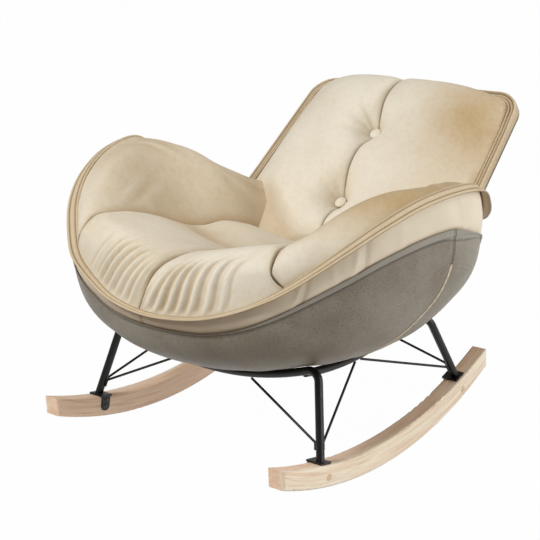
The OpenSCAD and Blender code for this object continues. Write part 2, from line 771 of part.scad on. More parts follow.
// Rear cover, with a thin pad between it and the board
rear_pad_t = 2;
function rear_z(x, a) = -board_t - fit - rear_pad_t
    - rear_puff * pow(max(0, soft(x / back_half(a)) * soft((a - 20) / (back_up - 18))), 0.5);
function rear_rows(d) = [for (a = back_rows(8, 4)) [for (j = [-6:6])
    let (x = j / 6 * back_half(a, 4)) [x, a, rear_z(x, a) - d]]];

module back_rear_cover() {
    color("#85817a") rolled() back_plane() difference() {
        slab(rear_rows(fit), rear_rows(fit + cover_t));
        post_rod(fit);
    }
}

module back_rear_pad() {
    color("khaki") rolled() back_plane() difference() {
        slab([for (row = rear_rows(0)) [for (p = row) [p[0], p[1], -board_t - fit]]], rear_rows(0));
        post_rod(fit);
        tie_washers(1);
    }
}

module tie_washers(grow) {
    for (a = tuft_a)
        translate([0, a, -board_t - fit - tie_washer_t - grow])
            cylinder(h = tie_washer_t + grow, d = tie_washer_d + 2 * grow, $fn = 24);
}

// Steel posts that carry the back from the inner shell, standing square to the back's board
post_x = 150;
post_a = -148;
post_d = 16;
post_l = 160;
module post_rod(grow) {
    for (s = [-1, 1])
        translate([s * post_x, post_a, -board_t - fit - post_l])
            cylinder(h = post_l, d = post_d + 2 * grow, $fn = 32);
}

module back_posts_space(grow) {
    back_plane()
        post_rod(grow);
}

module shell_space() {
    lid = rim_arm_z + 2 * arm_puff;
    top = ring(rows, liner_d);
    spindle(concat([for (j = [1:rows]) ring(j, liner_d)], [[for (p = top) [p[0], p[1], lid]]]),
        pole(liner_d), [0, base_back, lid]);
}

module back_posts() {
    color("dimgray") rolled() intersection() {
        back_posts_space(0);
        shell_space();
    }
}

button_h = 9;
button_lift = 1;
function button_seat(k) = 2 + back_height(0, tuft_a[k]) + button_lift;
module back_buttons() {
    color("#e4dac6") rolled() back_plane()
        for (k = [0, 1])
            translate([0, tuft_a[k], button_seat(k)])
                intersection() {
                    cylinder(h = button_h, d = button_d);
                    translate([0, 0, button_h - button_d])
                        sphere(r = button_d);
                }
}

// A tie runs from each button through the cushion and the board to a washer
module button_ties() {
    color("dimgray") rolled() back_plane() {
        tie_washers(0);
        for (k = [0, 1])
            translate([0, tuft_a[k], -board_t - fit])
                cylinder(h = board_t + fit + button_seat(k) - fit, d = tie_d, $fn = 12);
    }
}

// Fixings between the frame and the bowl: a welded tab beside each crossbar, a rubber spacer
// on it, and a bolt that goes up through cover and shell into a threaded washer
tab_angle = 10.5;
shell_tab_gap = 0.8;
shell_tab_l = 34;
shell_tab_w = 30;
shell_tab_t = 3;
spacer_d = 26;
shell_bolt_d = 8;
shell_bolt_play = 0.5;
shell_nut_d = 20;
shell_nut_t = 3;
function tab_at(i) = hoop_point(i, on_cradle(i, tab_angle))
    + [0, (i == 0 ? 1 : -1) * (tube_d / 2 + shell_tab_gap + shell_tab_w / 2), 0];

module at_tabs() {
    for (s = [-1, 1], i = [0, 1])
        on_side(s)
            translate(tab_at(i))
                children();
}

module bolt_holes() {
    at_tabs()
        cylinder(h = 60, d = shell_bolt_d + 2 * shell_bolt_play, $fn = 16);
    at_nuts(fit)
        cylinder(h = shell_nut_t + 12, d = shell_nut_d + 2 * fit, $fn = 32);
}

// Height of the shell's inside over a tab, measured on the bowl's own layer
nut_rise = [30, 24];
module at_nuts(drop) {
    for (s = [-1, 1], i = [0, 1])
        on_side(s)
            translate(tab_at(i) + [0, 0, nut_rise[i] - drop])
                children();
}

module frame_tabs() {
    color("#1c1c1e") rolled() at_tabs()
        difference() {
            translate([-shell_tab_l / 2, -shell_tab_w / 2, -shell_tab_t / 2])
                cube([shell_tab_l, shell_tab_w, shell_tab_t]);
            translate([0, 0, -shell_tab_t])
                cylinder(h = 2 * shell_tab_t, d = shell_bolt_d + 2 * shell_bolt_play);
        }
}

module tab_spacers() {
    color("#26241f") rolled() difference() {
        at_tabs()
            translate([0, 0, shell_tab_t / 2 + fit / 2])
                cylinder(h = 40, d = spacer_d, $fn = 32);
        spindle(concat([for (j = [1:rows]) ring(j, -fit)],
            [[for (p = ring(rows, -fit)) [p[0], p[1], rim_arm_z]]]),
            pole(-fit), [0, base_back, rim_arm_z]);
        at_tabs()
            cylinder(h = 60, d = shell_bolt_d + 2 * shell_bolt_play, $fn = 16);
    }
}

module shell_bolts() {
    color("dimgray") rolled() {
        at_tabs()
            translate([0, 0, -shell_tab_t / 2 - fit - 5])
                cylinder(h = 5, d = 13);
        for (s = [-1, 1], i = [0, 1])
            on_side(s)
                translate(tab_at(i) + [0, 0, -shell_tab_t / 2 - fit])
                    cylinder(h = nut_rise[i] + shell_tab_t / 2 + fit, d = shell_bolt_d);
        at_nuts(0)
            cylinder(h = shell_nut_t, d = shell_nut_d);
    }
}

rocker_rail(1);  // rocker_rail_left
rocker_rail(-1);  // rocker_rail_right
crossbar(0);  // front_crossbar
crossbar(1);  // rear_crossbar
leg(0, 1);  // leg_front_left
leg(0, -1);  // leg_front_right
leg(1, 1);  // leg_rear_left
leg(1, -1);  // leg_rear_right
side_bar(1);  // side_bar_left
side_bar(-1);  // side_bar_right
brace(0, 1, false);  // brace_front_left_cross
brace(0, 1, true);  // brace_front_left_side
brace(0, -1, false);  // brace_front_right_cross
brace(0, -1, true);  // brace_front_right_side
brace(1, 1, false);  // brace_rear_left_cross
brace(1, 1, true);  // brace_rear_left_side
brace(1, -1, false);  // brace_rear_right_cross
brace(1, -1, true);  // brace_rear_right_side
foot_plate(0, 1);  // foot_plate_front_left
foot_plate(0, -1);  // foot_plate_front_right
foot_plate(1, 1);  // foot_plate_rear_left
foot_plate(1, -1);  // foot_plate_rear_right
foot_screws();
rail_bolts();
frame_tabs();
tab_spacers();
shell_bolts();
inner_shell();
seat_board();
bottom_cloth();
cover_front();
cover_back();
zip(1);  // zip_left
zip(-1);  // zip_right
side_band();
rim_flange();
foam_liner();
seat_cushion(1);  // seat_cushion_left
seat_cushion(-1);  // seat_cushion_right
arm_cushion(1);  // arm_cushion_left
arm_cushion(-1);  // arm_cushion_right
back_board();
back_posts();
back_rear_pad();
back_rear_cover();
back_border();
back_cushion();
back_buttons();
button_ties();
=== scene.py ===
import json
import math

import bmesh
import bpy
import numpy as np
from mathutils import Matrix, Vector


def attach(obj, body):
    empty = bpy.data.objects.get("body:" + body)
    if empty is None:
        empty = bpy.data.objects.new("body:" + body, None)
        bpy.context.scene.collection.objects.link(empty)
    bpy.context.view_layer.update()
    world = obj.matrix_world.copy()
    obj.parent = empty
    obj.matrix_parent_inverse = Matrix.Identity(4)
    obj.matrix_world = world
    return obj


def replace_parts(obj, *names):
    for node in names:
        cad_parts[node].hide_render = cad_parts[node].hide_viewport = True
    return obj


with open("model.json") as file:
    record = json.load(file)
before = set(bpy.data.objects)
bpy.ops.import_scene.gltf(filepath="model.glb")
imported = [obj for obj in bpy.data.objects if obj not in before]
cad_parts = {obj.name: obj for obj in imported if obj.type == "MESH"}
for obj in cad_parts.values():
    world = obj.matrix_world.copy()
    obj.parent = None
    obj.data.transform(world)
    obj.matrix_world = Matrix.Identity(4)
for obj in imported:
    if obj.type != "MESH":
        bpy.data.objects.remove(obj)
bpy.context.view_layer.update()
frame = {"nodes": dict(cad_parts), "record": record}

# Real sizes in millimetres, in the chair's level pose: X across, the sitter faces -Y, Z up
REST_LEAN = math.radians(4.6)
ROLL_CENTRE = 850

BOWL_W, BOWL_L, BOWL_FRONT = 860, 676, 341
RIM_FRONT_Z, RIM_ARM_Z, RIM_BACK_Z = 345, 553, 402
BOWL_LOW, POLE_Y = 187, 30
COVER_T, SHELL_T, LINER_T, CLOTH_T, BAND_T = 2.2, 6, 36, 1.1, 3
CUSHION_D = COVER_T + SHELL_T + LINER_T
RIM_TAPER = 0.1
ARM_STATION = 8
# Half of the rim from front to back: share of the half width, of the length and of the rise,
# drop of the leather's edge, how far that edge lies inside the rim, and fullness below
STATIONS = np.array([
    (0, 0, 0, 28, 4, 2.5), (0.23, 0.017, 0.035, 34, 4, 2.5), (0.41, 0.05, 0.14, 40, 0, 2.5),
    (0.55, 0.083, 0.284, 46, -4, 2.45), (0.67, 0.145, 0.466, 53, -10, 2.45),
    (0.77, 0.216, 0.654, 62, -14, 2.6), (0.85, 0.306, 0.822, 70, -16, 2.65),
    (0.915, 0.42, 0.952, 79, -18, 2.65), (0.965, 0.535, 1, 86, -16, 2.45),
    (0.99, 0.635, 0.955, 93, -8, 2.1), (0.95, 0.715, 0.7, 88, 4, 2),
    (0.882, 0.786, 0.417, 80, 12, 2), (0.756, 0.87, 0.185, 74, 14, 2.05),
    (0.56, 0.94, 0.066, 70, 10, 2.15), (0.28, 0.985, 0.02, 70, 8, 2.15), (0, 1, 0, 70, 8, 2.15)])
LAST = len(STATIONS) - 1

MID_LINE = np.array([
    (0, -341, 345), (0, -335, 392), (0, -308, 424), (0, -268, 434), (0, -222, 431), (0, -165, 417),
    (0, -100, 397), (0, -30, 380), (0, 40, 371), (0, 105, 362), (0, 160, 335), (0, 225, 322),
    (0, 290, 350), (0, 335, 402)], float)
SEAM_FRONT, SEAM_BACK = 3.4, 13.6
SEAT_PUFF = 14
# The seat follows the rim over one part in this many of its length, at its front and at its back
RIM_BLEND = 9
# Rear of the seat: a roll before the back and a hollow before the roll
ROLL_AT, ROLL_WIDE, ROLL_HIGH = 0.6, 0.06, 12
HOLLOW_AT, HOLLOW_WIDE, HOLLOW_DEEP = 0.485, 0.035, 9
# Fullness of the arms at equal steps from front to back: height over rim and seam
ARM_FULLNESS = (0, 8, 20, 38, 48, 50, 60, 69, 60, 30, 0)
# Shift of the middle seam at the front rim and further back, and where it is straight again
SEAM_SHIFT, SEAM_TURN, SEAM_STRAIGHT = (24, 9), 0.16, 0.6

BACK_TILT = math.radians(37)
BACK_Y, BACK_Z = 371, 471
BACK_FOOT_W, BACK_TOP_W, BACK_UP, BACK_DOWN = 596, 540, 238, 196
CORNER_R, BACK_PUFF, BORDER_W = 55, 88, 18
BOARD_T, REAR_PUFF, REAR_PAD_T = 8, 14, 2
# Tufts of the back, lower and upper: place up the slope and depth, and their radius
TUFTS = ((-125, 63), (57, 52))
TUFT_R = 46

SIDES = ((1, "left"), (-1, "right"))


def mix(a, b, share):
    return a + (b - a) * share


def ease(x):
    """Smooth step from 0 to 1."""
    x = np.clip(x, 0, 1)
    return x * x * (3 - 2 * x)


def bump(x, width):
    return np.exp(-(x / width) ** 2)


def unit(v):
    return v / np.maximum(np.linalg.norm(v, axis=-1), 1e-9)[..., None]


def closer_at_ends(count):
    """Shares from 0 to 1 that stand closer together at both ends."""
    return 0.5 - 0.5 * np.cos(np.linspace(0, np.pi, count))


def curve(points, u):
    """Smooth open curve through points, at u from 0 to the number of spans."""
    points = np.asarray(points, float)
    u = np.asarray(u, float)
    end = len(points) - 1
    i = np.clip(np.floor(u), 0, end - 1).astype(int)
    p, q, r, s = (points[np.clip(i + k, 0, end)] for k in (-1, 0, 1, 2))
    return spline(p, q, r, s, (u - i)[..., None])


def spline(p, q, r, s, u):
    return 0.5 * (2 * q + (r - p) * u + (2 * p - 5 * q + 4 * r - s) * u * u
                  + (3 * q - p - 3 * r + s) * u ** 3)


def station(i):
    k = np.where(i < 0, -i, np.where(i > LAST, 2 * LAST - i, i))
    side = np.where(k == i, 1, -1)
    row = STATIONS[k]
    low = np.where(k > ARM_STATION, RIM_BACK_Z, RIM_FRONT_Z)
    return np.stack([side * row[..., 0] * BOWL_W / 2, row[..., 1] * BOWL_L - BOWL_FRONT,
                     mix(low, RIM_ARM_Z, row[..., 2]), row[..., 3], row[..., 4], row[..., 5]], -1)


def rim(t):
    """Rim of the bowl, from 0 at the front to LAST at the back, on the sitter's left."""
    t = np.asarray(t, float)
    i = np.clip(np.floor(t), 0, LAST - 1).astype(int)
    return spline(station(i - 1), station(i), station(i + 1), station(i + 2), (t - i)[..., None])


def outward(t):
    t = np.asarray(t, float)
    d = rim(np.minimum(t + 0.05, LAST)) - rim(np.maximum(t - 0.05, 0))
    x, y = d[..., 0].copy(), d[..., 1].copy()
    at_end = (t <= 0.05) | (t >= LAST - 0.05)
    x = np.where(at_end, np.sign(LAST / 2 - t), x)
    y = np.where(at_end, 0, y)
    n = np.hypot(x, y)
    return np.stack([y / n, -x / n, 0 * n], -1)


def edge_line(t, depth):
    r = rim(t)
    p = r[..., :3].copy()
    p[..., 2] -= r[..., 3]
    return p - outward(t) * (r[..., 4] + depth)[..., None]


def around(t, place):
    """The same form on both sides: t runs from 0 to 2 * LAST, round the whole bowl."""
    t = np.mod(np.asarray(t, float), 2 * LAST)
    right = t > LAST
    p = place(np.where(right, 2 * LAST - t, t))
    p[..., 0] *= np.where(right, -1, 1)
    return p


def belly(t, angle, depth):
    """Outside of the bowl below the leather's edge, from 0 at the lowest point to 90 at the edge."""
    def place(t):
        a = np.radians(angle)
        e = 2 / rim(t)[..., 5]
        top = edge_line(t, depth)
        low = np.array([0, POLE_Y, BOWL_LOW]) + np.zeros_like(top)
        low[..., 2] += depth
        h = np.clip(np.sin(a), 0, 1) ** e
        v = 1 - np.clip(np.cos(a), 0, 1) ** e
        return mix(low, top, np.stack([h, h, v], -1))
    return around(t, place)


def band(t, up, depth, bulge):
    """Outside of the cream band, from 0 at the leather's edge to 1 at the rim."""
    def place(t):
        low = edge_line(t, depth)
        high = rim(t)[..., :3] - outward(t) * np.asarray(depth * RIM_TAPER)[..., None]
        return mix(low, high, up[..., None]) + outward(t) * bulge[..., None]
    return around(t, place)


SIDE_LINE = np.array([
    rim(SEAM_FRONT)[:3], (238, -278, 456), (229, -246, 482), (224, -200, 478), (222, -150, 466),
    (221, -90, 444), (218, -25, 413), (213, 40, 390), (205, 100, 383), (192, 155, 368),
    (178, 210, 338), (172, 262, 345), (165, 300, 380), rim(SEAM_BACK)[:3]])


def side_at(v):
    return curve(SIDE_LINE, v * (len(SIDE_LINE) - 1))


def mid_at(v):
    return curve(MID_LINE, v * (len(MID_LINE) - 1))


def ends(v):
    return ease(np.minimum(v * RIM_BLEND, (1 - v) * RIM_BLEND))


def plain_seat(u, v):
    """Seat surface from the middle line, u = 0, to the side seam, u = 1, at v from front to back."""
    front = ease(1 - v * RIM_BLEND)[..., None]
    back = ease(1 - (1 - v) * RIM_BLEND)[..., None]
    start, side = rim(0.0)[:3], rim(SEAM_FRONT)[:3]
    rear, rear_side = rim(float(LAST))[:3], rim(SEAM_BACK)[:3]
    share = u[..., None]
    bend = (rim(SEAM_FRONT * u)[..., :3] - mix(start, side, share)) * front \
        + (rim(mix(LAST, SEAM_BACK, u))[..., :3] - mix(rear, rear_side, share)) * back
    p = mix(mid_at(v), side_at(v), share) + bend
    p[..., 2] += SEAT_PUFF * np.sin(np.pi * u) * np.maximum(0.1, 1 - v * 3) * ends(v)
    return p


def seam_shift(v):
    near = mix(SEAM_SHIFT[0], SEAM_SHIFT[1], v / SEAM_TURN)
    far = SEAM_SHIFT[1] * np.maximum(0, 1 - (v - SEAM_TURN) / (SEAM_STRAIGHT - SEAM_TURN))
    return np.where(v < SEAM_TURN, near, far)


def seat(w, v, side):
    """Seat cushion of one side, from its middle seam, w = 0, to its side seam, w = 1."""
    start = -side * seam_shift(v) / side_at(v)[..., 0]
    u = mix(start, 1, w)
    p = plain_seat(np.abs(u), v)
    p[..., 0] *= np.where(u < 0, -1, 1)
    roll = ROLL_HIGH * bump(v - ROLL_AT, ROLL_WIDE) * np.sin(np.pi * w).clip(0) ** 0.5
    hollow = HOLLOW_DEEP * bump(v - HOLLOW_AT, HOLLOW_WIDE) * bump(w - 0.5, 0.3)
    p[..., 2] += roll - hollow
    return p


def arm(w, v):
    """Arm cushion, from the rim, w = 0, to the side seam, w = 1."""
    t = mix(SEAM_FRONT, SEAM_BACK, v)
    edge = rim(t)[..., :3] - outward(t) * CUSHION_D * RIM_TAPER
    p = mix(edge, side_at(v), w[..., None])
    fullness = mix(1.6, 0.85, ease((v - 0.42) / 0.22))
    swell = np.sin(np.pi * np.clip(w, 0, 1) ** 0.95).clip(0) ** fullness
    full = curve(np.array(ARM_FULLNESS)[:, None], v * (len(ARM_FULLNESS) - 1))[..., 0]
    p[..., 2] += full * swell
    return p


def back_point(x, a, h):
    """Point of the back: x across, a up its slope, h off its board."""
    c, s = math.cos(BACK_TILT), math.sin(BACK_TILT)
    x, a, h = np.broadcast_arrays(np.asarray(x, float), np.asarray(a, float), np.asarray(h, float))
    return np.stack([x, BACK_Y + a * c - h * s, BACK_Z + a * s + h * c], -1)


def back_half(a, inset=0):
    r = CORNER_R - inset
    straight = mix(BACK_FOOT_W, BACK_TOP_W, (a + BACK_DOWN) / (BACK_UP + BACK_DOWN)) / 2
    over = np.maximum(0, a - BACK_UP + CORNER_R)
    return straight - CORNER_R + np.sqrt(np.maximum(0, r * r - over * over))


def soft(x):
    return 1 - np.minimum(1, np.abs(x)) ** 3.2


def crown(x, a, inset, foot):
    """Height of the back pad off its board; it stays fuller toward its edge on the sitter's left."""
    half = back_half(a) - inset
    middle, reach = (BACK_UP - foot) / 2, (BACK_UP + foot) / 2 - inset
    side_fall = np.where(x < 0, 1.0, 0.78)
    return BACK_PUFF * soft(x / half) ** side_fall * soft((a - middle) / reach) ** 0.3 \
        * mix(0.72, 1.22, (a + BACK_DOWN) / (BACK_UP + BACK_DOWN))


def rolled(p):
    """Level millimetres to metres in the resting chair, which leans back on its rails."""
    p = np.asarray(p, float)
    c, s = math.cos(REST_LEAN), math.sin(REST_LEAN)
    y, z = p[..., 1], p[..., 2] - ROLL_CENTRE
    return np.stack([p[..., 0], y * c + z * s, ROLL_CENTRE - y * s + z * c], -1) / 1000


# Meshes

def deselect():
    if bpy.context.object and bpy.context.object.mode != "OBJECT":
        bpy.ops.object.mode_set(mode="OBJECT")
    bpy.ops.object.select_all(action="DESELECT")


def smooth_shade(piece, angle):
    deselect()
    bpy.context.view_layer.objects.active = piece
    piece.select_set(True)
    bpy.ops.object.shade_smooth_by_angle(angle=math.radians(angle))
    piece.select_set(False)


def placed(name, data):
    thing = bpy.data.objects.new(name, data)
    bpy.context.collection.objects.link(thing)
    return thing


def dressed(piece, finish, angle):
    """The piece with its finish, shading and body."""
    piece.data.materials.append(finish)
    smooth_shade(piece, angle)
    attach(piece, "root")
    return piece


def piece_of(name, points, faces, marks, finish, angle, merge=True):
    """Closed piece from level points; merge joins the repeated points."""
    mesh = bpy.data.meshes.new(name)
    mesh.from_pydata(rolled(points).tolist(), [], faces)
    for mark, values in marks.items():
        mesh.attributes.new(mark, "FLOAT", "POINT").data.foreach_set("value", np.ravel(values))
    work = bmesh.new()
    work.from_mesh(mesh)
    if merge:
        bmesh.ops.remove_doubles(work, verts=work.verts, dist=2e-5)
        bmesh.ops.dissolve_degenerate(work, edges=work.edges, dist=1e-6)
    bmesh.ops.recalc_face_normals(work, faces=work.faces)
    work.to_mesh(mesh)
    work.free()
    return dressed(placed(name, mesh), finish, angle)


def grid_faces(m, n, start, flip):
    i, j = np.meshgrid(np.arange(m - 1), np.arange(n - 1), indexing="ij")
    a = (start + i * n + j).ravel()
    quad = np.stack([a, a + n, a + n + 1, a + 1], 1)
    return (quad[:, ::-1] if flip else quad).tolist()


def slab(name, top, under, finish, slot, closed=False, angle=50, **marks):
    """Closed form between two grids of points; a closed one runs round with its columns."""
    m, n = top.shape[:2]
    points = np.concatenate([top.reshape(-1, 3), under.reshape(-1, 3)])
    o = m * n
    faces = grid_faces(m, n, 0, False) + grid_faces(m, n, o, True)
    for row in (0, m - 1):
        a = row * n
        faces += [[a + j, a + j + 1, o + a + j + 1, o + a + j][::1 if row else -1]
                  for j in range(n - 1)]
    if not closed:
        for col in (0, n - 1):
            faces += [[i * n + col, i * n + n + col, o + i * n + n + col, o + i * n + col]
                      [::-1 if col else 1] for i in range(m - 1)]
    both = {k: np.concatenate([np.ravel(v), np.ravel(v)]) for k, v in marks.items()}
    return piece_of(name, points, faces, both, finish, angle)


def tube(name, sections, finish, slot, closed=True, angle=50, **marks):
    """Sweep: rows of points round a section, one row for each place along the path."""
    m, n = sections.shape[:2]

    def shut(rows):
        rows = np.concatenate([rows, rows[:, :1]], 1)
        return np.concatenate([rows, rows[:1]]) if closed else rows

    ring = shut(sections)
    faces = grid_faces(*ring.shape[:2], 0, False)
    if not closed:
        faces += [list(range(n)), [(m - 1) * (n + 1) + j for j in range(n)][::-1]]
    marks = {mark: shut(values) for mark, values in marks.items()}
    return piece_of(name, ring.reshape(-1, 3), faces, marks, finish, angle)


def upward(grid):
    """Unit normals of a grid of points, on its upper side."""
    n = unit(np.cross(np.gradient(grid, axis=0), np.gradient(grid, axis=1)))
    return n * np.sign(n[..., 2].sum())


def stitches(name, path, up, finish, pitch=5.0, length=3.6, thick=0.9):
    """One small capsule for each stitch along a path that lies on a surface with normals up."""
    run = np.concatenate([[0], np.cumsum(np.linalg.norm(np.diff(path, axis=0), axis=1))])
    places = np.arange(pitch / 2, run[-1], pitch)

    def along(rows, at):
        return np.stack([np.interp(at, run, rows[:, k]) for k in range(3)], 1)

    centre = along(path, places)
    tangent = unit(along(path, places + 0.5) - along(path, places - 0.5))
    across = unit(np.cross(tangent, along(up, places)))
    lift = np.cross(across, tangent)
    # Share of the length and of the thickness at each ring of the capsule
    shape = ((-0.5, 0.35), (-0.3, 0.95), (0, 1.1), (0.3, 0.95), (0.5, 0.35))
    sides = 6
    rings = []
    for share, wide in shape:
        for k in range(sides):
            turn = 2 * math.pi * k / sides
            rings.append(centre + tangent * length * share + across * thick / 2 * wide * math.cos(turn)
                         + lift * thick / 2 * (wide * math.sin(turn) + 0.3))
    points = np.stack(rings, 1)
    each = len(shape) * sides
    one = []
    for r in range(len(shape) - 1):
        low, high = r * sides, (r + 1) * sides
        one += [[low + k, low + (k + 1) % sides, high + (k + 1) % sides, high + k] for k in range(sides)]
    one += [list(range(sides))[::-1], list(range(each - sides, each))]
    faces = [[i * each + k for k in face] for i in range(len(centre)) for face in one]
    return piece_of(name, points.reshape(-1, 3), faces, {}, finish, 60, merge=False)


# Finishes

def paint(r, g, b):
    """Linear colour of a screen colour from 0 to 255."""
    linear = [c / 3294.6 if c < 10.3 else ((c / 255 + 0.055) / 1.055) ** 2.4 for c in (r, g, b)]
    return (*linear, 1)


def add_node(tree, kind, values, **settings):
    """New node, each of whose inputs takes a value or a link from another node's output."""
    node = tree.nodes.new(kind)
    for setting, value in settings.items():
        setattr(node, setting, value)
    for socket, value in values.items():
        if isinstance(value, bpy.types.NodeSocket):
            tree.links.new(value, node.inputs[socket])
        else:
            node.inputs[socket].default_value = value
    return node


class Level:
    """A socket that carries a value over a surface; sums on it add Math nodes."""

    def __init__(self, finish, socket):
        self.finish, self.socket = finish, socket

    def __add__(self, other):
        return self.finish.maths("ADD", self, other)

    def __sub__(self, other):
        return self.finish.maths("SUBTRACT", self, other)

    def __rsub__(self, other):
        return self.finish.maths("SUBTRACT", other, self)

    def __mul__(self, other):
        return self.finish.maths("MULTIPLY", self, other)

    __radd__, __rmul__ = __add__, __mul__


class Finish:
    """A material on one Principled shader, whose constants sit on the shader's own sockets."""

    def __init__(self, name, **constants):
        self.material = bpy.data.materials.new(name)
        self.material.use_nodes = True
        self.tree = self.material.node_tree
        self.shader = self.tree.nodes["Principled BSDF"]
        for constant, value in constants.items():
            socket = constant.replace("_", " ").title().replace("Ior", "IOR")
            self.shader.inputs[socket].default_value = value
        self.place = self.node("ShaderNodeTexCoord", {}, "Object")

    def node(self, kind, values, output=0, **settings):
        values = {key: value.socket if isinstance(value, Level) else value for key, value in values.items()}
        return Level(self, add_node(self.tree, kind, values, **settings).outputs[output])

    def maths(self, operation, *values):
        return self.node("ShaderNodeMath", dict(enumerate(values)), operation=operation)

    def noise(self, scale, detail, rough=0.5, place=None, output="Fac"):
        return self.node("ShaderNodeTexNoise", {"Vector": place or self.place, "Scale": scale,
                                                "Detail": detail, "Roughness": rough}, output)

    def cells(self, scale, feature="F1", place=None):
        return self.node("ShaderNodeTexVoronoi", {"Vector": place or self.place, "Scale": scale},
                         "Distance", feature=feature)

    def mark(self, name):
        return self.node("ShaderNodeAttribute", {}, "Fac", attribute_name=name)

    def stretch(self, place, x, y, z):
        return self.node("ShaderNodeVectorMath", {0: place, 1: (x, y, z)}, operation="MULTIPLY")

    def part(self, axis):
        return self.node("ShaderNodeSeparateXYZ", {0: self.place}, axis)

    def ramp(self, value, low, high, start=0.0, end=1.0):
        limits = {"Value": value, "From Min": low, "From Max": high, "To Min": start, "To Max": end}
        return self.node("ShaderNodeMapRange", limits, interpolation_type="SMOOTHSTEP")

    def blend(self, share, a, b):
        return self.node("ShaderNodeMix", {0: share, 6: a, 7: b}, 2, data_type="RGBA")

    def colour(self, value):
        self.feed("Base Color", value)
        return self

    def roughness(self, value):
        self.feed("Roughness", value)
        return self

    def relief(self, *layers):
        """Bumps on each other, each one as height, depth in metres and strength."""
        before = None
        for height, depth, strength in layers:
            values = {"Height": height, "Distance": depth, "Strength": strength}
            if before:
                values["Normal"] = before
            before = self.node("ShaderNodeBump", values)
        self.feed("Normal", before)
        return self

    def feed(self, socket, value):
        self.tree.links.new(value.socket, self.shader.inputs[socket])


def soft_leather(name, light, shade, painted_shade_share):
    """Matt microfibre leather: faint blotches, painted warm shade in the creases and tan areas, a fine nap.
    """
    f = Finish(name, roughness=0.62, specular_ior_level=0.35, sheen_weight=0.12, sheen_roughness=0.5)
    blotch = f.ramp(f.noise(7, 4, 0.6), 0.3, 0.75) * 0.2 + f.ramp(f.noise(90, 3, 0.6), 0.35, 0.75) * 0.1
    # Painted shade: darkens the leather toward its shade tone where the mark is high
    tone = f.blend(f.mark("crease") * painted_shade_share + blotch, light, shade)
    f.colour(f.blend(f.mark("seam") * 0.9, tone, paint(92, 78, 58)))
    f.roughness(f.ramp(f.noise(24, 3), 0.3, 0.7, 0.56, 0.68))
    f.relief((f.noise(38, 3, 0.55), 0.0012, 0.35), (f.cells(520), 0.00025, 0.3),
             (f.noise(1500, 2), 0.00012, 0.35))
    return f.material


def grained_leather(name, light, shade):
    """Satin leather cloth with a pebbled grain, painted shade low down and toward the front, and a painted
    highlight on its lap.
    """
    f = Finish(name, roughness=0.46, specular_ior_level=0.45)
    push = f.stretch(f.noise(300, 2, output="Color"), 0.0012, 0.0012, 0.0012)
    warped = f.node("ShaderNodeVectorMath", {0: f.place, 1: push}, operation="ADD")
    pebbles = f.cells(430, "DISTANCE_TO_EDGE", warped)
    valleys = f.ramp(pebbles, 0.0, 0.16)
    blotch = f.ramp(f.noise(7, 4, 0.6), 0.3, 0.75) * 0.5
    # Painted shade: darker low down and toward the front
    low = f.ramp(f.part("Z"), 0.2, 0.4, 0.3, 0.0) + f.ramp(f.part("Y"), -0.3, 0.25, 0.35, 0.0)
    tone = f.blend((1 - valleys) * 0.5 + blotch + low, light, shade)
    # Painted highlight on the lap over the band
    tone = f.blend(f.mark("lap") * 0.45, tone, paint(176, 173, 166))
    f.colour(f.blend(f.mark("seam") * 0.9, tone, paint(58, 53, 46)))
    f.roughness(f.ramp(valleys, 0, 1, 0.56, 0.42))
    f.relief((f.noise(30, 3), 0.001, 0.3), (valleys, 0.00018, 0.55), (f.noise(1400, 2), 0.0001, 0.25))
    return f.material


def band_cloth(name):
    """Cream side band with painted warm shade low down and painted shade in its creases."""
    f = Finish(name, roughness=0.6, specular_ior_level=0.35, sheen_weight=0.1, sheen_roughness=0.5)
    # Painted warm shade toward the foot of the band
    low = f.ramp(f.part("Z"), 0.30, 0.45, 0.95, 0.0)
    blotch = f.ramp(f.noise(11, 4, 0.6), 0.3, 0.75) * 0.3
    tone = f.blend(low, paint(236, 225, 205), paint(130, 98, 64))
    tone = f.blend(blotch, tone, paint(206, 188, 156))
    # Painted shade where the shade mark is high
    f.colour(f.blend(f.mark("crease") * 0.75, tone, paint(138, 110, 76)))
    f.relief((f.noise(38, 3), 0.0012, 0.4), (f.cells(520), 0.00025, 0.3), (f.noise(1500, 2), 0.00012, 0.3))
    return f.material


def rubberwood(name):
    """Pale pinkish hardwood, whose grain follows the rail's curve."""
    f = Finish(name, roughness=0.48, specular_ior_level=0.4, coat_weight=0.12, coat_roughness=0.35)
    x, y, z = (f.part(axis) for axis in ("X", "Y", "Z"))
    drop = ROLL_CENTRE / 1000 - z
    reach = f.maths("SQRT", y * y + drop * drop)
    run = f.maths("ARCTAN2", y, drop) * (ROLL_CENTRE / 1000)
    place = f.node("ShaderNodeCombineXYZ", {0: x, 1: run, 2: reach})
    streaks = f.noise(1, 5, 0.62, f.stretch(place, 260, 9, 260))
    pores = f.noise(1, 3, 0.6, f.stretch(place, 1500, 60, 1500))
    figure = f.noise(1, 4, 0.6, f.stretch(place, 40, 5, 70))
    # Painted light: the rail is lighter toward its outer face, where the light falls
    outer = f.ramp(f.maths("ABSOLUTE", x), 0.2915, 0.3045)
    base = f.blend(outer, paint(254, 224, 196), paint(253, 242, 220))
    tone = f.blend(f.ramp(figure, 0.35, 0.7) * 0.5, base, paint(232, 190, 156))
    tone = f.blend(f.ramp(streaks, 0.44, 0.74) * 0.5, tone, paint(196, 146, 110))
    f.colour(f.blend(f.ramp(pores, 0.6, 0.8) * 0.3, tone, paint(150, 106, 76)))
    f.roughness(f.ramp(streaks, 0.3, 0.7, 0.42, 0.55))
    f.relief((streaks, 0.0004, 0.25), (pores, 0.00015, 0.3))
    return f.material


def end_wood(name):
    f = Finish(name, roughness=0.5, specular_ior_level=0.35)
    rings = f.noise(1, 4, 0.6, f.stretch(f.place, 60, 400, 400))
    f.colour(f.blend(f.ramp(rings, 0.35, 0.7), paint(236, 214, 180), paint(206, 168, 130)))
    f.relief((rings, 0.0003, 0.3))
    return f.material


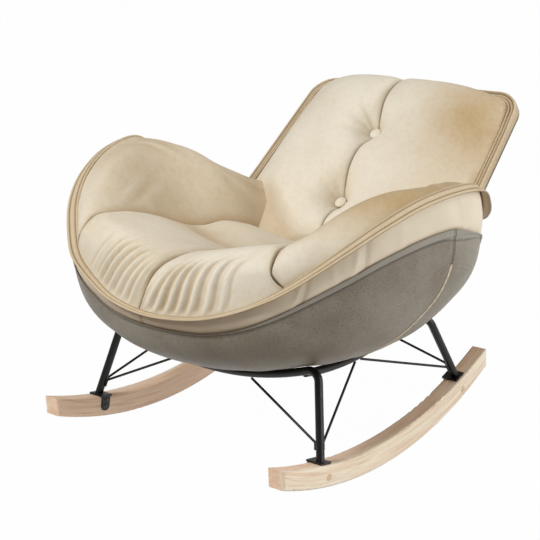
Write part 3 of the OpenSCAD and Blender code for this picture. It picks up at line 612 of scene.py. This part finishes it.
def powder_coat(name):
    """Satin black powder coat with its fine orange peel and dusty worn spots."""
    f = Finish(name, roughness=0.4, specular_ior_level=0.35, coat_weight=0.08, coat_roughness=0.25)
    worn = f.ramp(f.noise(40, 4, 0.6), 0.55, 0.85) * 0.5
    f.colour(f.blend(worn, paint(7, 7, 7), paint(19, 18, 17)))
    f.roughness(f.ramp(f.noise(60, 3), 0.3, 0.7, 0.34, 0.48))
    f.relief((f.noise(900, 2), 0.00012, 0.35))
    return f.material


def bare_steel(name):
    f = Finish(name, roughness=0.35, metallic=0.9)
    f.colour(f.blend(f.ramp(f.noise(120, 3), 0.3, 0.7), paint(70, 70, 70), paint(95, 94, 90)))
    f.roughness(f.ramp(f.noise(200, 3), 0.3, 0.7, 0.28, 0.5))
    f.relief((f.noise(1200, 2), 0.0001, 0.2))
    return f.material


def plain_core(name, light, dark, scale, roughness):
    """Foam, board, shell or cloth that is seen little: a two-tone speckle with its own grain."""
    f = Finish(name, roughness=roughness, specular_ior_level=0.3)
    speck = f.noise(scale, 4, 0.65)
    f.colour(f.blend(f.ramp(speck, 0.3, 0.7), light, dark))
    f.relief((speck, 0.0006, 0.3))
    return f.material


def woven(name, light, dark, pitch):
    """Plain weave: two crossed waves make the threads."""
    f = Finish(name, roughness=0.85, specular_ior_level=0.2)
    turn = 2 * math.pi / pitch
    warp, weft = (f.maths("SINE", f.part(axis) * turn) for axis in ("X", "Y"))
    threads = warp * weft * 0.5 + 0.5
    f.colour(f.blend(f.ramp(threads, 0.2, 0.8), dark, light))
    f.relief((threads, 0.0003, 0.4), (f.noise(700, 2), 0.0002, 0.3))
    return f.material


CREAM = soft_leather("cream microfibre leather", paint(240, 234, 219), paint(190, 164, 122), 0.6)
TRIM = soft_leather("cream piping leather", paint(218, 200, 170), paint(166, 136, 96), 0.6)
BAND = band_cloth("cream side band leather")
TAUPE = grained_leather("taupe leather cloth", paint(168, 163, 153), paint(112, 101, 84))
THREAD = plain_core("cream sewing thread", paint(226, 212, 184), paint(196, 176, 140), 900, 0.7)
GREY_THREAD = plain_core("taupe sewing thread", paint(152, 146, 134), paint(128, 121, 109), 900, 0.7)
ZIP = woven("cream zip tape", paint(240, 230, 208), paint(206, 188, 156), 0.0012)
WOOD = rubberwood("rubberwood")
PLUG = end_wood("rubberwood plug")
STEEL = powder_coat("black powder coat")
BLACK_CLOTH = woven("black dust cloth", paint(44, 42, 40), paint(22, 21, 20), 0.0014)
ZINC = bare_steel("dark zinc steel")
RUBBER = plain_core("black rubber", paint(30, 30, 30), paint(22, 22, 22), 300, 0.75)
SHELL = plain_core("moulded shell", paint(66, 62, 56), paint(52, 49, 45), 160, 0.55)
BOARD = plain_core("plywood", paint(206, 172, 128), paint(176, 138, 96), 60, 0.65)
FOAM = plain_core("seat foam", paint(226, 210, 168), paint(206, 188, 142), 260, 0.9)

# Pieces that show their CAD mesh take the finish of their slot
KEPT = {"rail_wood": WOOD, "black_steel": STEEL, "zinc_steel": ZINC, "rubber": RUBBER,
        "shell_plastic": SHELL, "plywood": BOARD, "black_cloth": BLACK_CLOTH, "foam": FOAM,
        "taupe_leather": TAUPE, "cream_leather": CREAM, "cream_trim": TRIM, "zip_tape": ZIP}
for row in frame["record"]["subparts"]:
    node = frame["nodes"].get(row["node"])
    if node:
        for place in node.material_slots:
            place.material = KEPT[row["material_slot"]]


# Leather cover of the bowl

# Panel seam of the cover: place round the rim at every 15 degrees up from the lowest point
PANEL_SEAM = (6.1, 6.12, 6.28, 6.6, 7.1, 7.7, 7.95)
CLOTH_EDGE = 90 / 7
COVER_ROWS, COVER_COLUMNS, LAP_ROWS = 72, 220, 10
# Height of one degree of the belly near its edge, and of the leather's lap, in millimetres
DEGREE_H, LAP_H = 4.2, 16
# A point inside the bowl
BOWL_HEART = (0, POLE_Y, 400)


def panel_seam(angle):
    return curve(np.array(PANEL_SEAM)[:, None], np.asarray(angle) / 15)[..., 0]


def from_front(t):
    """Place on the rim as a distance from its front, the same on both sides."""
    t = np.mod(t, 2 * LAST)
    return np.minimum(t, 2 * LAST - t)


def lap(t):
    """How far the leather laps over the band, as a share of the band's height."""
    t = from_front(t)
    return 0.03 + 0.16 * ease((t - 1.2) / 2.7) * ease((8.9 - t) / 1.1)


def seam_drop(t):
    """How far the stitched seam runs below the foot of the lap, in millimetres."""
    return 5 * ease((from_front(t) - 7.4) / 1.2)


def leather(t, angle, share, depth):
    """Leather below its stitched seam, by angle, and above it, by share of its lap."""
    up = share * lap(t)
    over = band(t, up, depth - 2.6 * ease(share * 4), 4 * np.sin(np.pi * up))
    return np.where((share > 0)[..., None], over, belly(t, angle, depth))


def cover_panel(name, t_start, t_end):
    """Part of the cover between two seams, whose rows stand closer toward the edge."""
    rows = CLOTH_EDGE + (90 - CLOTH_EDGE) * (1 - (1 - np.linspace(0, 1, COVER_ROWS)) ** 1.6)
    lap_rows = np.linspace(0, 1, LAP_ROWS + 1)[1:] ** 1.5
    angle = np.concatenate([rows, np.full(LAP_ROWS, 90.0)])
    share = np.concatenate([np.zeros(len(rows)), lap_rows])
    t = mix(t_start(angle)[:, None], t_end(angle)[:, None], closer_at_ends(COVER_COLUMNS)[None, :])
    angle, share = angle[:, None] + 0 * t, share[:, None] + 0 * t
    plain = leather(t, angle, share, 0 * t)
    run = np.cumsum(np.linalg.norm(np.gradient(plain, axis=1), axis=-1), axis=1)
    from_side = np.minimum(run - run[:, :1], run[:, -1:] - run)
    down = (90 - angle) * DEGREE_H + share * LAP_H
    to_seam = (90 - angle) * DEGREE_H - share * LAP_H - seam_drop(t)
    groove = 0.8 * bump(from_side, 1.4) + 0.6 * bump(to_seam, 1.1)
    roll = 1.4 * bump((1 - share) * 10 + (share <= 0) * 99, 3.5)
    wave = 0.5 * np.sin(t * 5.1 + angle * 0.11) * np.sin(angle * 0.06 + t * 0.7)
    depth = groove - roll - 0.6 * ease(from_side / 12) * ease(down / 12) \
        - wave * ease((angle - 15) / 20) * ease((90 - angle) / 10)
    seam = bump(from_side - 2.6, 0.9) + 0.5 * bump(from_side, 0.7)
    seam = np.clip(seam + 0.85 * bump(to_seam, 0.75) * ease((from_front(t) - 2.2) / 1.5), 0, 1)
    # Painted highlight on the lap above the stitched seam, weaker at its top edge
    lap_highlight = ease(0.5 - to_seam / 2) - 0.6 * bump((1 - share) * 10, 1.5)
    return slab(name, leather(t, angle, share, depth), leather(t, angle, share, depth + COVER_T),
                TAUPE, "taupe_leather", seam=seam, lap=lap_highlight)


cover_front = cover_panel("cover_front_leather", lambda a: -panel_seam(a), panel_seam)
cover_back = cover_panel("cover_back_leather", panel_seam, lambda a: 2 * LAST - panel_seam(a))
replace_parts(cover_front, "cover_front")
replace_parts(cover_back, "cover_back")


def off_bowl(lift, at):
    """Turns each lift so that it points out of the bowl."""
    return lift * np.sign((lift * (at - BOWL_HEART)).sum(-1))[:, None]


def zip_strip(name, side):
    """Plain strip along the panel seam, raised along its middle."""
    angle = np.linspace(30, 83, 130)
    t = panel_seam(angle)
    middle = belly(t, angle, 0.0)
    across = unit(belly(t + 0.05, angle, 0.0) - middle)
    lift = off_bowl(unit(np.cross(np.gradient(middle, axis=0), across)), middle)
    profile = ((-3, 0.6), (-1.7, 1.0), (-1.1, 1.7), (0, 2.0), (1.1, 1.7), (1.7, 1.0), (3, 0.6),
               (2.8, -0.9), (-2.8, -0.9))
    rows = np.stack([middle + across * x + lift * z for x, z in profile], 1)
    rows[..., 0] *= side
    return tube(name, rows, ZIP, "zip_tape", closed=False)


for side, word in SIDES:
    tape = zip_strip("zip_tape_" + word, side)
    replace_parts(tape, "zip_" + word)

angle, t = np.meshgrid(np.linspace(0, CLOTH_EDGE, 14), np.linspace(0, 2 * LAST, 121), indexing="ij")
sag = 0.6 * np.sin(angle / CLOTH_EDGE * math.pi)
dust_cloth = slab("bottom_dust_cloth", belly(t, angle, -sag), belly(t, angle, CLOTH_T - sag),
                  BLACK_CLOTH, "black_cloth", closed=True)
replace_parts(dust_cloth, "bottom_cloth")

# Row of stitches along the leather's seam
t = np.linspace(0, 2 * LAST, 900)
share = 0.13 * ease(1 - seam_drop(t) / 2)
angle = 90 - np.maximum(0, seam_drop(t) - 2) / DEGREE_H
proud = np.full_like(t, -0.35)
path = leather(t, angle, share, proud)
ahead = leather(t + 0.02, angle, share, proud)
low = leather(t, angle - 0.8, 0 * share, proud)
lift = off_bowl(np.cross(ahead - path, low - path), path)
stitches("cover_edge_stitches", path, lift, GREY_THREAD,
         pitch=4.2, length=3.0, thick=0.6)

# Cream side band with soft gathers: place round the rim, height, width and lean of each
BAND_GATHERS = (
    (3.7, 1.6, 0.07, 0.35), (3.95, -1.2, 0.06, 0.3), (4.7, 1.2, 0.08, -0.2), (5.3, 1.8, 0.09, 0.3),
    (5.6, -1.3, 0.06, 0.2), (6.5, 0.9, 0.1, 0.2), (8.3, 1.1, 0.08, -0.1), (9.2, 1.3, 0.09, 0.2),
    (10.6, 1.2, 0.1, 0), (12.2, 1.2, 0.1, 0.1), (18.1, 1.2, 0.1, 0), (20.4, 1.4, 0.1, 0.2),
    (22.3, 1.3, 0.09, -0.3), (24.5, 1.5, 0.08, 0.2), (26.1, 1.6, 0.07, -0.3), (26.5, -1.1, 0.06, -0.3))
up, t = np.meshgrid(np.linspace(0, 1, 26), np.linspace(0, 2 * LAST, 481), indexing="ij")
gather = sum(high * bump(np.mod(t - at + LAST, 2 * LAST) - LAST - lean * (up - 0.5), wide)
             for at, high, wide, lean in BAND_GATHERS)
fold = gather * np.sin(np.pi * up) ** 0.6
centre_seam = 1.6 * bump(np.mod(t + 0.25 + LAST, 2 * LAST) - LAST, 0.02)
wave = 0.5 * np.sin(t * 7.3 + up * 4) * np.sin(np.pi * up)
bulge = 4.5 * np.sin(np.pi * up) - 2.2 * ease(1 - up * 4) + fold - centre_seam + wave
# Painted shade under the flange, at the foot of the band, at its middle seam and in its fold valleys
edges = 0.8 * ease((up - 0.84) / 0.16) + 0.6 * ease((lap(t) + 0.07 - up) / 0.06)
crease = np.clip(-fold * 0.3 + centre_seam * 0.6 + edges, 0, 1)
side_band = slab("side_band_cloth", band(t, up, 0 * t, bulge), band(t, up, BAND_T + 0 * t, bulge),
                 BAND, "cream_trim", closed=True, crease=crease)
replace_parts(side_band, "side_band")

# Flange round the rim: two welts with rows of stitches between them
FLANGE = np.array([
    (-5.2, 0.4), (-5.6, 2.4), (-4.6, 4.3), (-2.6, 5.1), (-0.6, 4.3), (0.7, 2.6), (1.5, 1.9), (2.6, 2.2),
    (5, 3.0), (8, 3.1), (11, 2.7), (13.2, 1.6), (14, 1.4), (14.9, 2.2), (16.4, 3.3), (18.4, 3.2),
    (19.9, 1.6), (20.2, -0.8), (19.2, -3.2), (16.8, -4.4), (10, -4.4), (4, -4.0), (2.2, -2), (1, 0.2)])
# Grooves beside the welts, by their places in the profile; they carry dark seam lines and painted shade
FLANGE_GROOVES = np.array([0, 0, 0, 0, 0.2, 0.7, 1, 0.4, 0, 0, 0, 0.6,
                           1, 0.5, 0, 0, 0, 0.3, 0.9, 0.7, 0.3, 0.3, 0.6, 1])
# How far the flange's outer edge droops at the arms
FLANGE_DROOP = 8


def flange_point(t, x, z):
    """Point of the flange: x out from the rim and z up from it, drooping outward at the arms."""
    def place(t):
        r = rim(t)[..., :3]
        rise = np.clip((r[..., 2] - RIM_FRONT_Z) / (RIM_ARM_Z - RIM_FRONT_Z), 0, 1)
        out = np.asarray(x) * mix(0.72, 0.92, ease(rise * 3))
        p = r + outward(t) * out[..., None]
        p[..., 2] += z * 0.62 - FLANGE_DROOP * rise * ease(np.clip(out, 0, 20) / 20)
        return p
    return around(t, place)


t, k = np.meshgrid(np.linspace(0, 2 * LAST, 421)[:-1], np.arange(len(FLANGE)), indexing="ij")
flange = tube("rim_flange_welts", flange_point(t, FLANGE[k, 0], FLANGE[k, 1]), TRIM, "cream_trim",
              angle=70, seam=FLANGE_GROOVES[k] * 0.7, crease=FLANGE_GROOVES[k])
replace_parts(flange, "rim_flange")
t = np.linspace(0, 2 * LAST, 1200)
for name, x, z in (("flange_inner_stitches", 2.4, 2.3), ("flange_outer_stitches", 12.4, 2.2)):
    path = flange_point(t, x + 0 * t, z)
    ahead = flange_point(t + 0.02, x + 0 * t, z)
    beside = flange_point(t, x - 1 + 0 * t, z + 0.05)
    lift = np.cross(ahead - path, beside - path)
    lift *= np.sign(lift[:, 2])[:, None]
    stitches(name, path, lift, THREAD)

# Seat cushions

# Gathered folds over the front: where each starts and ends across and along, and its height
FOLDS = {
    1: ((0.05, 0.02, 0.19, 0.165, 2.0), (0.115, 0.015, 0.28, 0.155, 3.2), (0.185, 0.015, 0.36, 0.135, 3.4),
        (0.25, 0.015, 0.44, 0.125, 3.0), (0.32, 0.015, 0.55, 0.12, 3.4), (0.42, 0.012, 0.66, 0.115, 3.0),
        (0.53, 0.012, 0.74, 0.1, 2.0)),
    -1: ((0.60, 0.02, 0.56, 0.12, 1.6), (0.49, 0.018, 0.425, 0.145, 3.2), (0.41, 0.015, 0.33, 0.16, 3.4),
         (0.325, 0.015, 0.23, 0.175, 3.2), (0.24, 0.015, 0.14, 0.18, 2.4), (0.16, 0.015, 0.08, 0.18, 1.8),
         (0.085, 0.015, 0.03, 0.185, 2.4))}
SEAT_ROWS, SEAT_COLUMNS = 220, 130
# Width of a seat cushion over the front, where its folds are
SEAT_W = 235


def seat_rows(count):
    """Rows from front to back that stand closer together over the front."""
    i = np.linspace(0, 1, count)
    return mix(i, i * i, 0.55)


def folds(w, v, side):
    """Height of the gathered folds: each a ridge with a valley on both of its sides."""
    out = 0 * w
    for w0, v0, w1, v1, high in FOLDS[side]:
        share = np.clip((v - v0) / (v1 - v0), 0, 1.2)
        middle = mix(w0, w1, share ** 1.15)
        span = (w - middle) * SEAT_W
        reach = ease((v - v0 + 0.012) / 0.03) * ease((v1 + 0.03 - v) / (0.55 * (v1 - v0)))
        ridge = bump(span, 4.8) - 0.66 * bump(span - 8.5, 4) - 0.3 * bump(span + 9.5, 4.6)
        out += 1.3 * reach * high * ridge
    return out


def sink(p, centre, inward, low):
    """Under side of a pad: its top drawn towards the middle of the bowl and lowered."""
    q = mix(p, np.array(centre, float), inward)
    q[..., 2] = p[..., 2] - low
    return q


def seat_pad(name, side):
    v, w = np.meshgrid(seat_rows(SEAT_ROWS), closer_at_ends(SEAT_COLUMNS), indexing="ij")
    p = seat(w, v, side)
    up = upward(p)
    fold = folds(w, v, side)
    width = side_at(v)[..., 0]
    seam = np.minimum(w, 1 - w) * width
    tuck = 7 * bump(seam, 10) + 8 * bump(seam, 2.4)
    welt = 0.9 * bump(seam - 5.5, 1.6)
    wave = 1.2 * np.sin(v * 21 + w * 3.1 + side) * np.sin(w * 7.4 + v * 5) * ends(v)
    p = p + up * ((fold + wave * 0.5) * ease(seam / 14) + welt * ends(v))[..., None]
    p[..., 2] -= tuck * ease(v * 14)
    p[..., 0] *= side
    # Painted shade beside the seams, in the fold valleys and the hollow, deeper on the right cushion and
    # toward the back
    crease = 0.5 * bump(seam, 10) + np.clip(-fold, 0, 3) * 0.35 + bump(v - HOLLOW_AT, 0.03) * 0.5
    crease = np.clip(crease + (0.1 if side > 0 else 0.25) + 0.25 * ease((v - 0.3) / 0.2), 0, 1)
    under = sink(p, (side * 60, -20, 0), 0.1, 46)
    pad = slab(name, p, under, CREAM, "cream_leather", crease=crease, seam=bump(seam, 1.5), angle=70)
    return pad


# Arm cushions

ARM_ROWS, ARM_COLUMNS = 170, 80
# Soft wrinkles of the arms: place along and across, height, width, length and slant
ARM_WRINKLES = ((0.5, 0.32, -1.4, 0.012, 0.16, 0.25), (0.53, 0.34, 1.5, 0.014, 0.15, 0.25),
                (0.57, 0.36, -1.3, 0.012, 0.14, 0.3), (0.33, 0.8, 1.4, 0.02, 0.1, -0.5),
                (0.37, 0.82, -1.3, 0.018, 0.1, -0.5), (0.42, 0.8, 1.3, 0.02, 0.1, -0.5),
                (0.78, 0.7, 0.8, 0.02, 0.16, 0.4), (0.84, 0.66, -0.9, 0.022, 0.16, 0.4))


def arm_pad(name, side):
    v, w = np.meshgrid(np.linspace(0.004, 0.996, ARM_ROWS), closer_at_ends(ARM_COLUMNS), indexing="ij")
    p = arm(w, v)
    up = upward(p)
    width = np.linalg.norm(rim(mix(SEAM_FRONT, SEAM_BACK, v))[..., :3] - side_at(v), axis=-1)
    seam = (1 - w) * width
    wave = 0.7 * np.sin(v * 11 + w * 2 + side) * np.sin(np.pi * w)
    wrinkle = sum(high * bump((v - v0) - (w - w0) * lean, wide) * bump(w - w0, reach)
                  for v0, w0, high, wide, reach, lean in ARM_WRINKLES)
    p = p + up * (wave + wrinkle)[..., None]
    p[..., 2] -= (6 * bump(seam, 10) + 8 * bump(seam, 2.4)) * ends(v)
    p[..., 0] *= side
    under = sink(p, (0, 0, 0), 0.06, 34)
    # Painted tan shade, deeper on the left arm and toward the back, and painted shade beside the seam, in
    # the wrinkles and where the arm meets the back
    painted_tan_shade = (0.75 + 0.6 * (side > 0)) * ease((v - 0.06) / 0.3)
    painted_contact_shade = ease((v - 0.86) / 0.12) * ease((w - 0.3) / 0.3) * 0.6
    crease = np.clip(0.5 * bump(seam, 10) + painted_tan_shade - 0.2 * wrinkle + painted_contact_shade, 0, 1.4)
    pad = slab(name, p, under, CREAM, "cream_leather", crease=crease, seam=bump(seam, 1.5), angle=70)
    return pad


for side, word in SIDES:
    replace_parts(seat_pad("seat_pad_" + word, side), "seat_cushion_" + word)
    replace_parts(arm_pad("arm_pad_" + word, side), "arm_cushion_" + word)

# Back

# Radial folds at each button: direction in degrees from the sitter's left upward, length and depth
PULLS = (((150, 52, 7), (190, 46, 5), (118, 44, 6), (40, 32, 3), (320, 30, 3), (235, 42, 4)),
         ((128, 84, 13), (158, 70, 11), (192, 62, 7), (222, 44, 4), (70, 36, 4), (12, 30, 3), (330, 34, 3)))
# The cushion hangs below the foot of its board, down to the seat
PAD_DOWN = 246
# Line on which the arms start to press the pad down: across and up the slope, and its lean
PRESS_X, PRESS_A, PRESS_LEAN = 172, -100, 1.1


def pressed(x, a):
    """Share by which the arm cushions press the pad down at its lower corners."""
    return ease((abs(x) + PRESS_LEAN * (PRESS_A - a) - PRESS_X) / 90) * ease((-66 - a) / 80)


def back_height(x, a):
    c = crown(x, a, BORDER_W, PAD_DOWN) * (1 - 0.94 * pressed(x, a))
    near = sum(bump(np.hypot(x, a - at), 27) for at, _ in TUFTS)
    seam = (11 * bump(x, 16) + 6 * bump(x, 2.6)) * (1 - 0.9 * near)
    dent = 0 * c
    for (at, depth), pulls in zip(TUFTS, PULLS):
        d = np.hypot(x, a - at)
        turn = np.degrees(np.arctan2(a - at, x))
        dent = dent + depth * (0.74 * bump(d, TUFT_R) + 0.26 * np.exp(-np.maximum(0, d - 13) / 10))
        for way, reach, deep in pulls:
            off = np.mod(turn - way + 180, 360) - 180
            dent = dent + deep * bump(off, 9 + 130 / (d + 6)) * ease(d / 16) * bump(d, reach)
    return 2 + c - np.minimum(c * 0.86, (seam + dent) * c / BACK_PUFF)


def over_corner(inset, count):
    """Places up the back from the foot of its top corners to its top edge."""
    return BACK_UP - CORNER_R + (CORNER_R - inset) * np.sin(np.linspace(0, math.pi / 2, count))


def back_pad():
    i = np.linspace(0, 1, 150)
    inset = BORDER_W + 0.3
    a = np.concatenate([mix(-PAD_DOWN, BACK_UP - CORNER_R, i[:-1] ** 1.15), over_corner(inset, 40)])
    j = np.linspace(-1, 1, 181)
    spread = np.sign(j) * np.abs(j) ** 1.5 * 0.4 + np.sin(j * math.pi / 2) * 0.6
    a, across = np.meshgrid(a, spread, indexing="ij")
    x = back_half(a, inset) * across
    h = back_height(x, a) + 1.3 * np.sin(x * 0.024 + 1) * np.sin(a * 0.021)
    near = sum(bump(np.hypot(x, a - at), 24) for at, _ in TUFTS)
    # Painted tan shade of the left half, deepening toward its upper corner, and painted shade at the tufts,
    # along the middle seam, low on the side edges and where the arms press
    painted_tan_shade = ease((x - 50) / 190) * (0.6 + 0.4 * ease(a / 120)) + 0.5 * bump(x - 190, 70) * bump(a - 110, 90)
    sides = 0.8 * ease((abs(across) - 0.94) / 0.06) * ease((40 - a) / 60)
    crease = np.clip(bump(x, 6) * 0.4 + near * 0.6 + painted_tan_shade + sides + 0.9 * pressed(x, a), 0, 1.5)
    return slab("back_pad", back_point(x, a, h), back_point(x, a, 0.3), CREAM, "cream_leather",
                crease=crease, seam=bump(x, 0.9) * 0.8, angle=70)


cushion = back_pad()
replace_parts(cushion, "back_cushion")


def border_path(inset):
    """Outline of the back from one foot over its top corners to the other foot."""
    count = 64
    a = np.concatenate([np.linspace(-BACK_DOWN, BACK_UP - CORNER_R, count), over_corner(inset, 24)[1:]])
    x = back_half(a, inset)
    top = np.linspace(x[-1], -x[-1], count)[1:-1]
    return np.concatenate([np.stack([x, a], 1), np.stack([top, np.full_like(top, a[-1])], 1),
                           np.stack([-x, a], 1)[::-1]])


def border_rise(x, a):
    """The border is fuller at its upper left corner."""
    return 1 + 0.9 * ease((a - 120) / 90) * ease((x - 40) / 90)


# Border and its lip over the board's edge: how far in from the outline, and height
BORDER = np.array([
    (0.6, -10.1), (-0.4, -8.6), (-0.6, -2), (-0.4, 3.4), (1.2, 6.2), (3.2, 7.2), (5, 6), (6, 4.2), (7, 4.6),
    (9.4, 5.6), (12, 4.8), (13.2, 3.4), (14.2, 4.8), (16, 6.4), (18, 6.0), (19.4, 3), (19, 0.3),
    (5.6, 0.3), (5.2, -10.1)])
# Grooves of the border, by their places in the profile; they carry dark seam lines and painted shade
BORDER_GROOVES = np.array([1, 0.5, 0.2, 0.2, 0, 0, 0.2, 1, 0.6, 0, 0.3, 1, 0.3, 0, 0, 1, 1, 1, 1])
rows = []
for inset, h in BORDER:
    x, a = border_path(inset).T
    rows.append(back_point(x, a, h * border_rise(x, a) if h > 0 else h))
rows = np.stack(rows, 1)
grooves = BORDER_GROOVES[None, :] + np.zeros(rows.shape[:2])
border = tube("back_border_welts", rows, TRIM, "cream_trim", closed=False, angle=70,
              seam=grooves * 0.6, crease=grooves)
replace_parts(border, "back_border")
for name, inset in (("border_outer_stitches", 5.6), ("border_inner_stitches", 13)):
    x, a = border_path(inset).T
    path = back_point(x, a, 4.1 * border_rise(x, a))
    lift = np.repeat([back_point(0, 0, 1) - back_point(0, 0, 0)], len(path), 0)
    stitches(name, path, lift, THREAD)

# Rear cover of the back, over its thin pad: how far it goes past the board, and its gaps
REAR_OVER, REAR_GAP = 0.4, 0.3
a = np.concatenate([np.linspace(-BACK_DOWN, BACK_UP - CORNER_R, 70), over_corner(-REAR_OVER, 24)[1:]])
a, across = np.meshgrid(a, np.linspace(-1, 1, 90), indexing="ij")
x = back_half(a, -REAR_OVER) * across
puff = soft(x / back_half(a)) * soft((a - 20) / (BACK_UP - 18))
h = -BOARD_T - REAR_GAP - REAR_PAD_T - REAR_PUFF * np.clip(puff, 0, None) ** 0.5 - REAR_GAP
rear = slab("back_rear_leather", back_point(x, a, h), back_point(x, a, h - COVER_T), TAUPE,
            "taupe_leather")
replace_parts(rear, "back_rear_cover")

# Covered buttons: radius and height from the crown to the middle of the under side
BUTTON = np.array([(0, 8.2), (3, 8.0), (6, 7.4), (9, 6.2), (11.2, 4.6), (12.5, 2.8), (12.8, 1.2),
                   (12.2, 0), (9, -0.6), (6, -0.6), (3, -0.6), (0, -0.6)])
BUTTON_WIDER, BUTTON_LIFT, BUTTON_STEPS = 1.06, 3.6, 49
for name, (at, _) in zip(("back_button_lower", "back_button_upper"), TUFTS):
    seat_h = float(back_height(np.array(0.0), np.array(float(at)))) + BUTTON_LIFT
    turn, k = np.meshgrid(np.linspace(0, 2 * math.pi, BUTTON_STEPS), np.arange(len(BUTTON)), indexing="ij")
    # Its cloth is gathered into nine soft pleats round the rim
    r = BUTTON_WIDER * BUTTON[k, 0] * (1 + 0.02 * np.cos(turn * 9) * (BUTTON[k, 0] > 10))
    ring = back_point(r * np.cos(turn), at + r * np.sin(turn), seat_h + BUTTON[k, 1])
    faces = grid_faces(BUTTON_STEPS, len(BUTTON), 0, False)
    # Painted shade round the button's pleated rim
    button = piece_of(name, ring.reshape(-1, 3), faces, {"crease": (BUTTON[k, 0] > 11.5) * 0.6},
                      CREAM, 60)
    if name == "back_button_lower":
        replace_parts(button, "back_buttons")

# Wooden plugs over the rail bolts

def roll_matrix():
    """The same lean for a whole object as rolled gives to points."""
    centre = Vector((0, 0, ROLL_CENTRE / 1000))
    return Matrix.Translation(centre) @ Matrix.Rotation(-REST_LEAN, 4, "X") @ Matrix.Translation(-centre)


RAIL_GAUGE, RAIL_W, RAIL_T, RAIL_TOP_R = 575, 38, 47, 955
FRONT_BOLT_Y, REAR_BOLT_Y = -219, 251
# Radius and thickness of a plug, and its middle in from the outer face of the rail
PLUG_R, PLUG_T, PLUG_IN = 6.8, 7.8, 3.7
for side, word in SIDES:
    for y, end in ((FRONT_BOLT_Y, "front"), (REAR_BOLT_Y, "rear")):
        z = RAIL_T + RAIL_TOP_R - math.sqrt(RAIL_TOP_R ** 2 - y * y) - RAIL_T / 2
        deselect()
        bpy.ops.mesh.primitive_cylinder_add(vertices=40, radius=PLUG_R / 1000, depth=PLUG_T / 1000)
        plug = bpy.context.object
        plug.name = plug.data.name = "bolt_plug_%s_%s" % (end, word)
        bpy.ops.object.mode_set(mode="EDIT")
        bpy.ops.mesh.select_all(action="SELECT")
        bpy.ops.mesh.bevel(offset=0.0007, segments=2)
        bpy.ops.object.mode_set(mode="OBJECT")
        x = side * ((RAIL_GAUGE + RAIL_W) / 2 - PLUG_IN)
        place = Matrix.Translation((x / 1000, y / 1000, z / 1000)) @ Matrix.Rotation(math.pi / 2, 4, "Y")
        plug.data.transform(roll_matrix() @ place)
        dressed(plug, PLUG, 40)


# Room, light and camera

def stage_finish(name, tone, seen):
    """Pale floor that shows plain to the camera and still takes some of the shadow."""
    material = bpy.data.materials.new(name)
    material.use_nodes = True
    tree = material.node_tree
    tree.nodes.clear()
    diffuse = add_node(tree, "ShaderNodeBsdfDiffuse", {"Color": (tone, tone, tone, 1)})
    glow = add_node(tree, "ShaderNodeEmission", {"Color": (1, 1, 1, 1)})
    path = add_node(tree, "ShaderNodeLightPath", {})
    flat = add_node(tree, "ShaderNodeMath", {0: path.outputs["Is Camera Ray"],
                                             1: path.outputs["Is Glossy Ray"]}, operation="MAXIMUM")
    share = add_node(tree, "ShaderNodeMath", {0: flat.outputs[0], 1: seen}, operation="MULTIPLY")
    both = add_node(tree, "ShaderNodeMixShader",
                    {0: share.outputs[0], 1: diffuse.outputs[0], 2: glow.outputs[0]})
    add_node(tree, "ShaderNodeOutputMaterial", {"Surface": both.outputs[0]})
    return material


deselect()
bpy.ops.mesh.primitive_circle_add(vertices=96, radius=9, fill_type="NGON", location=(0, 0, -0.001))
floor = bpy.context.object
floor.name = "floor"
floor.data.materials.append(stage_finish("pale floor", 0.5, 0.985))

world = bpy.data.worlds.new("studio")
bpy.context.scene.world = world
world.use_nodes = True
tree = world.node_tree
tree.nodes.clear()
path = add_node(tree, "ShaderNodeLightPath", {})
shown = add_node(tree, "ShaderNodeBackground", {"Color": (1, 1, 1, 1), "Strength": 1})
soft_light = add_node(tree, "ShaderNodeBackground", {"Color": (1, 0.92, 0.8, 1), "Strength": 0.32})
both = add_node(tree, "ShaderNodeMixShader",
                {0: path.outputs["Is Camera Ray"], 1: soft_light.outputs[0], 2: shown.outputs[0]})
add_node(tree, "ShaderNodeOutputWorld", {"Surface": both.outputs[0]})


def lamp(name, place, aim, size, power):
    data = bpy.data.lights.new(name, "AREA")
    data.shape, data.size, data.energy = "DISK", size, power
    obj = placed(name, data)
    obj.location = place
    obj.rotation_euler = (Vector(aim) - Vector(place)).to_track_quat("-Z", "Y").to_euler()


lamp("key_light", (-1.1, -2.3, 3.3), (0, 0, 0.35), 1.4, 95)
lamp("side_light", (3.3, 0.5, 0.95), (0, 0, 0.3), 1.8, 44)
lamp("rear_light", (2.4, 2.2, 1.8), (0, 0, 0.3), 1.2, 20)

# Camera at the photograph's place, turned back with the chair
azimuth, elevation, tilt = math.radians(39.33), math.radians(17.92), math.radians(-2.29)
camera = placed("camera", bpy.data.cameras.new("camera"))
camera.data.lens, camera.data.sensor_width = 90.4, 36
turn = Matrix.Rotation(azimuth, 4, "Z") @ Matrix.Rotation(math.pi / 2 - elevation, 4, "X")
level = Matrix.Translation((1.6545, -2.0108, 1.1762)) @ turn @ Matrix.Rotation(tilt, 4, "Z")
camera.matrix_world = roll_matrix() @ level
bpy.context.scene.camera = camera
bpy.context.scene.view_settings.view_transform = "Standard"
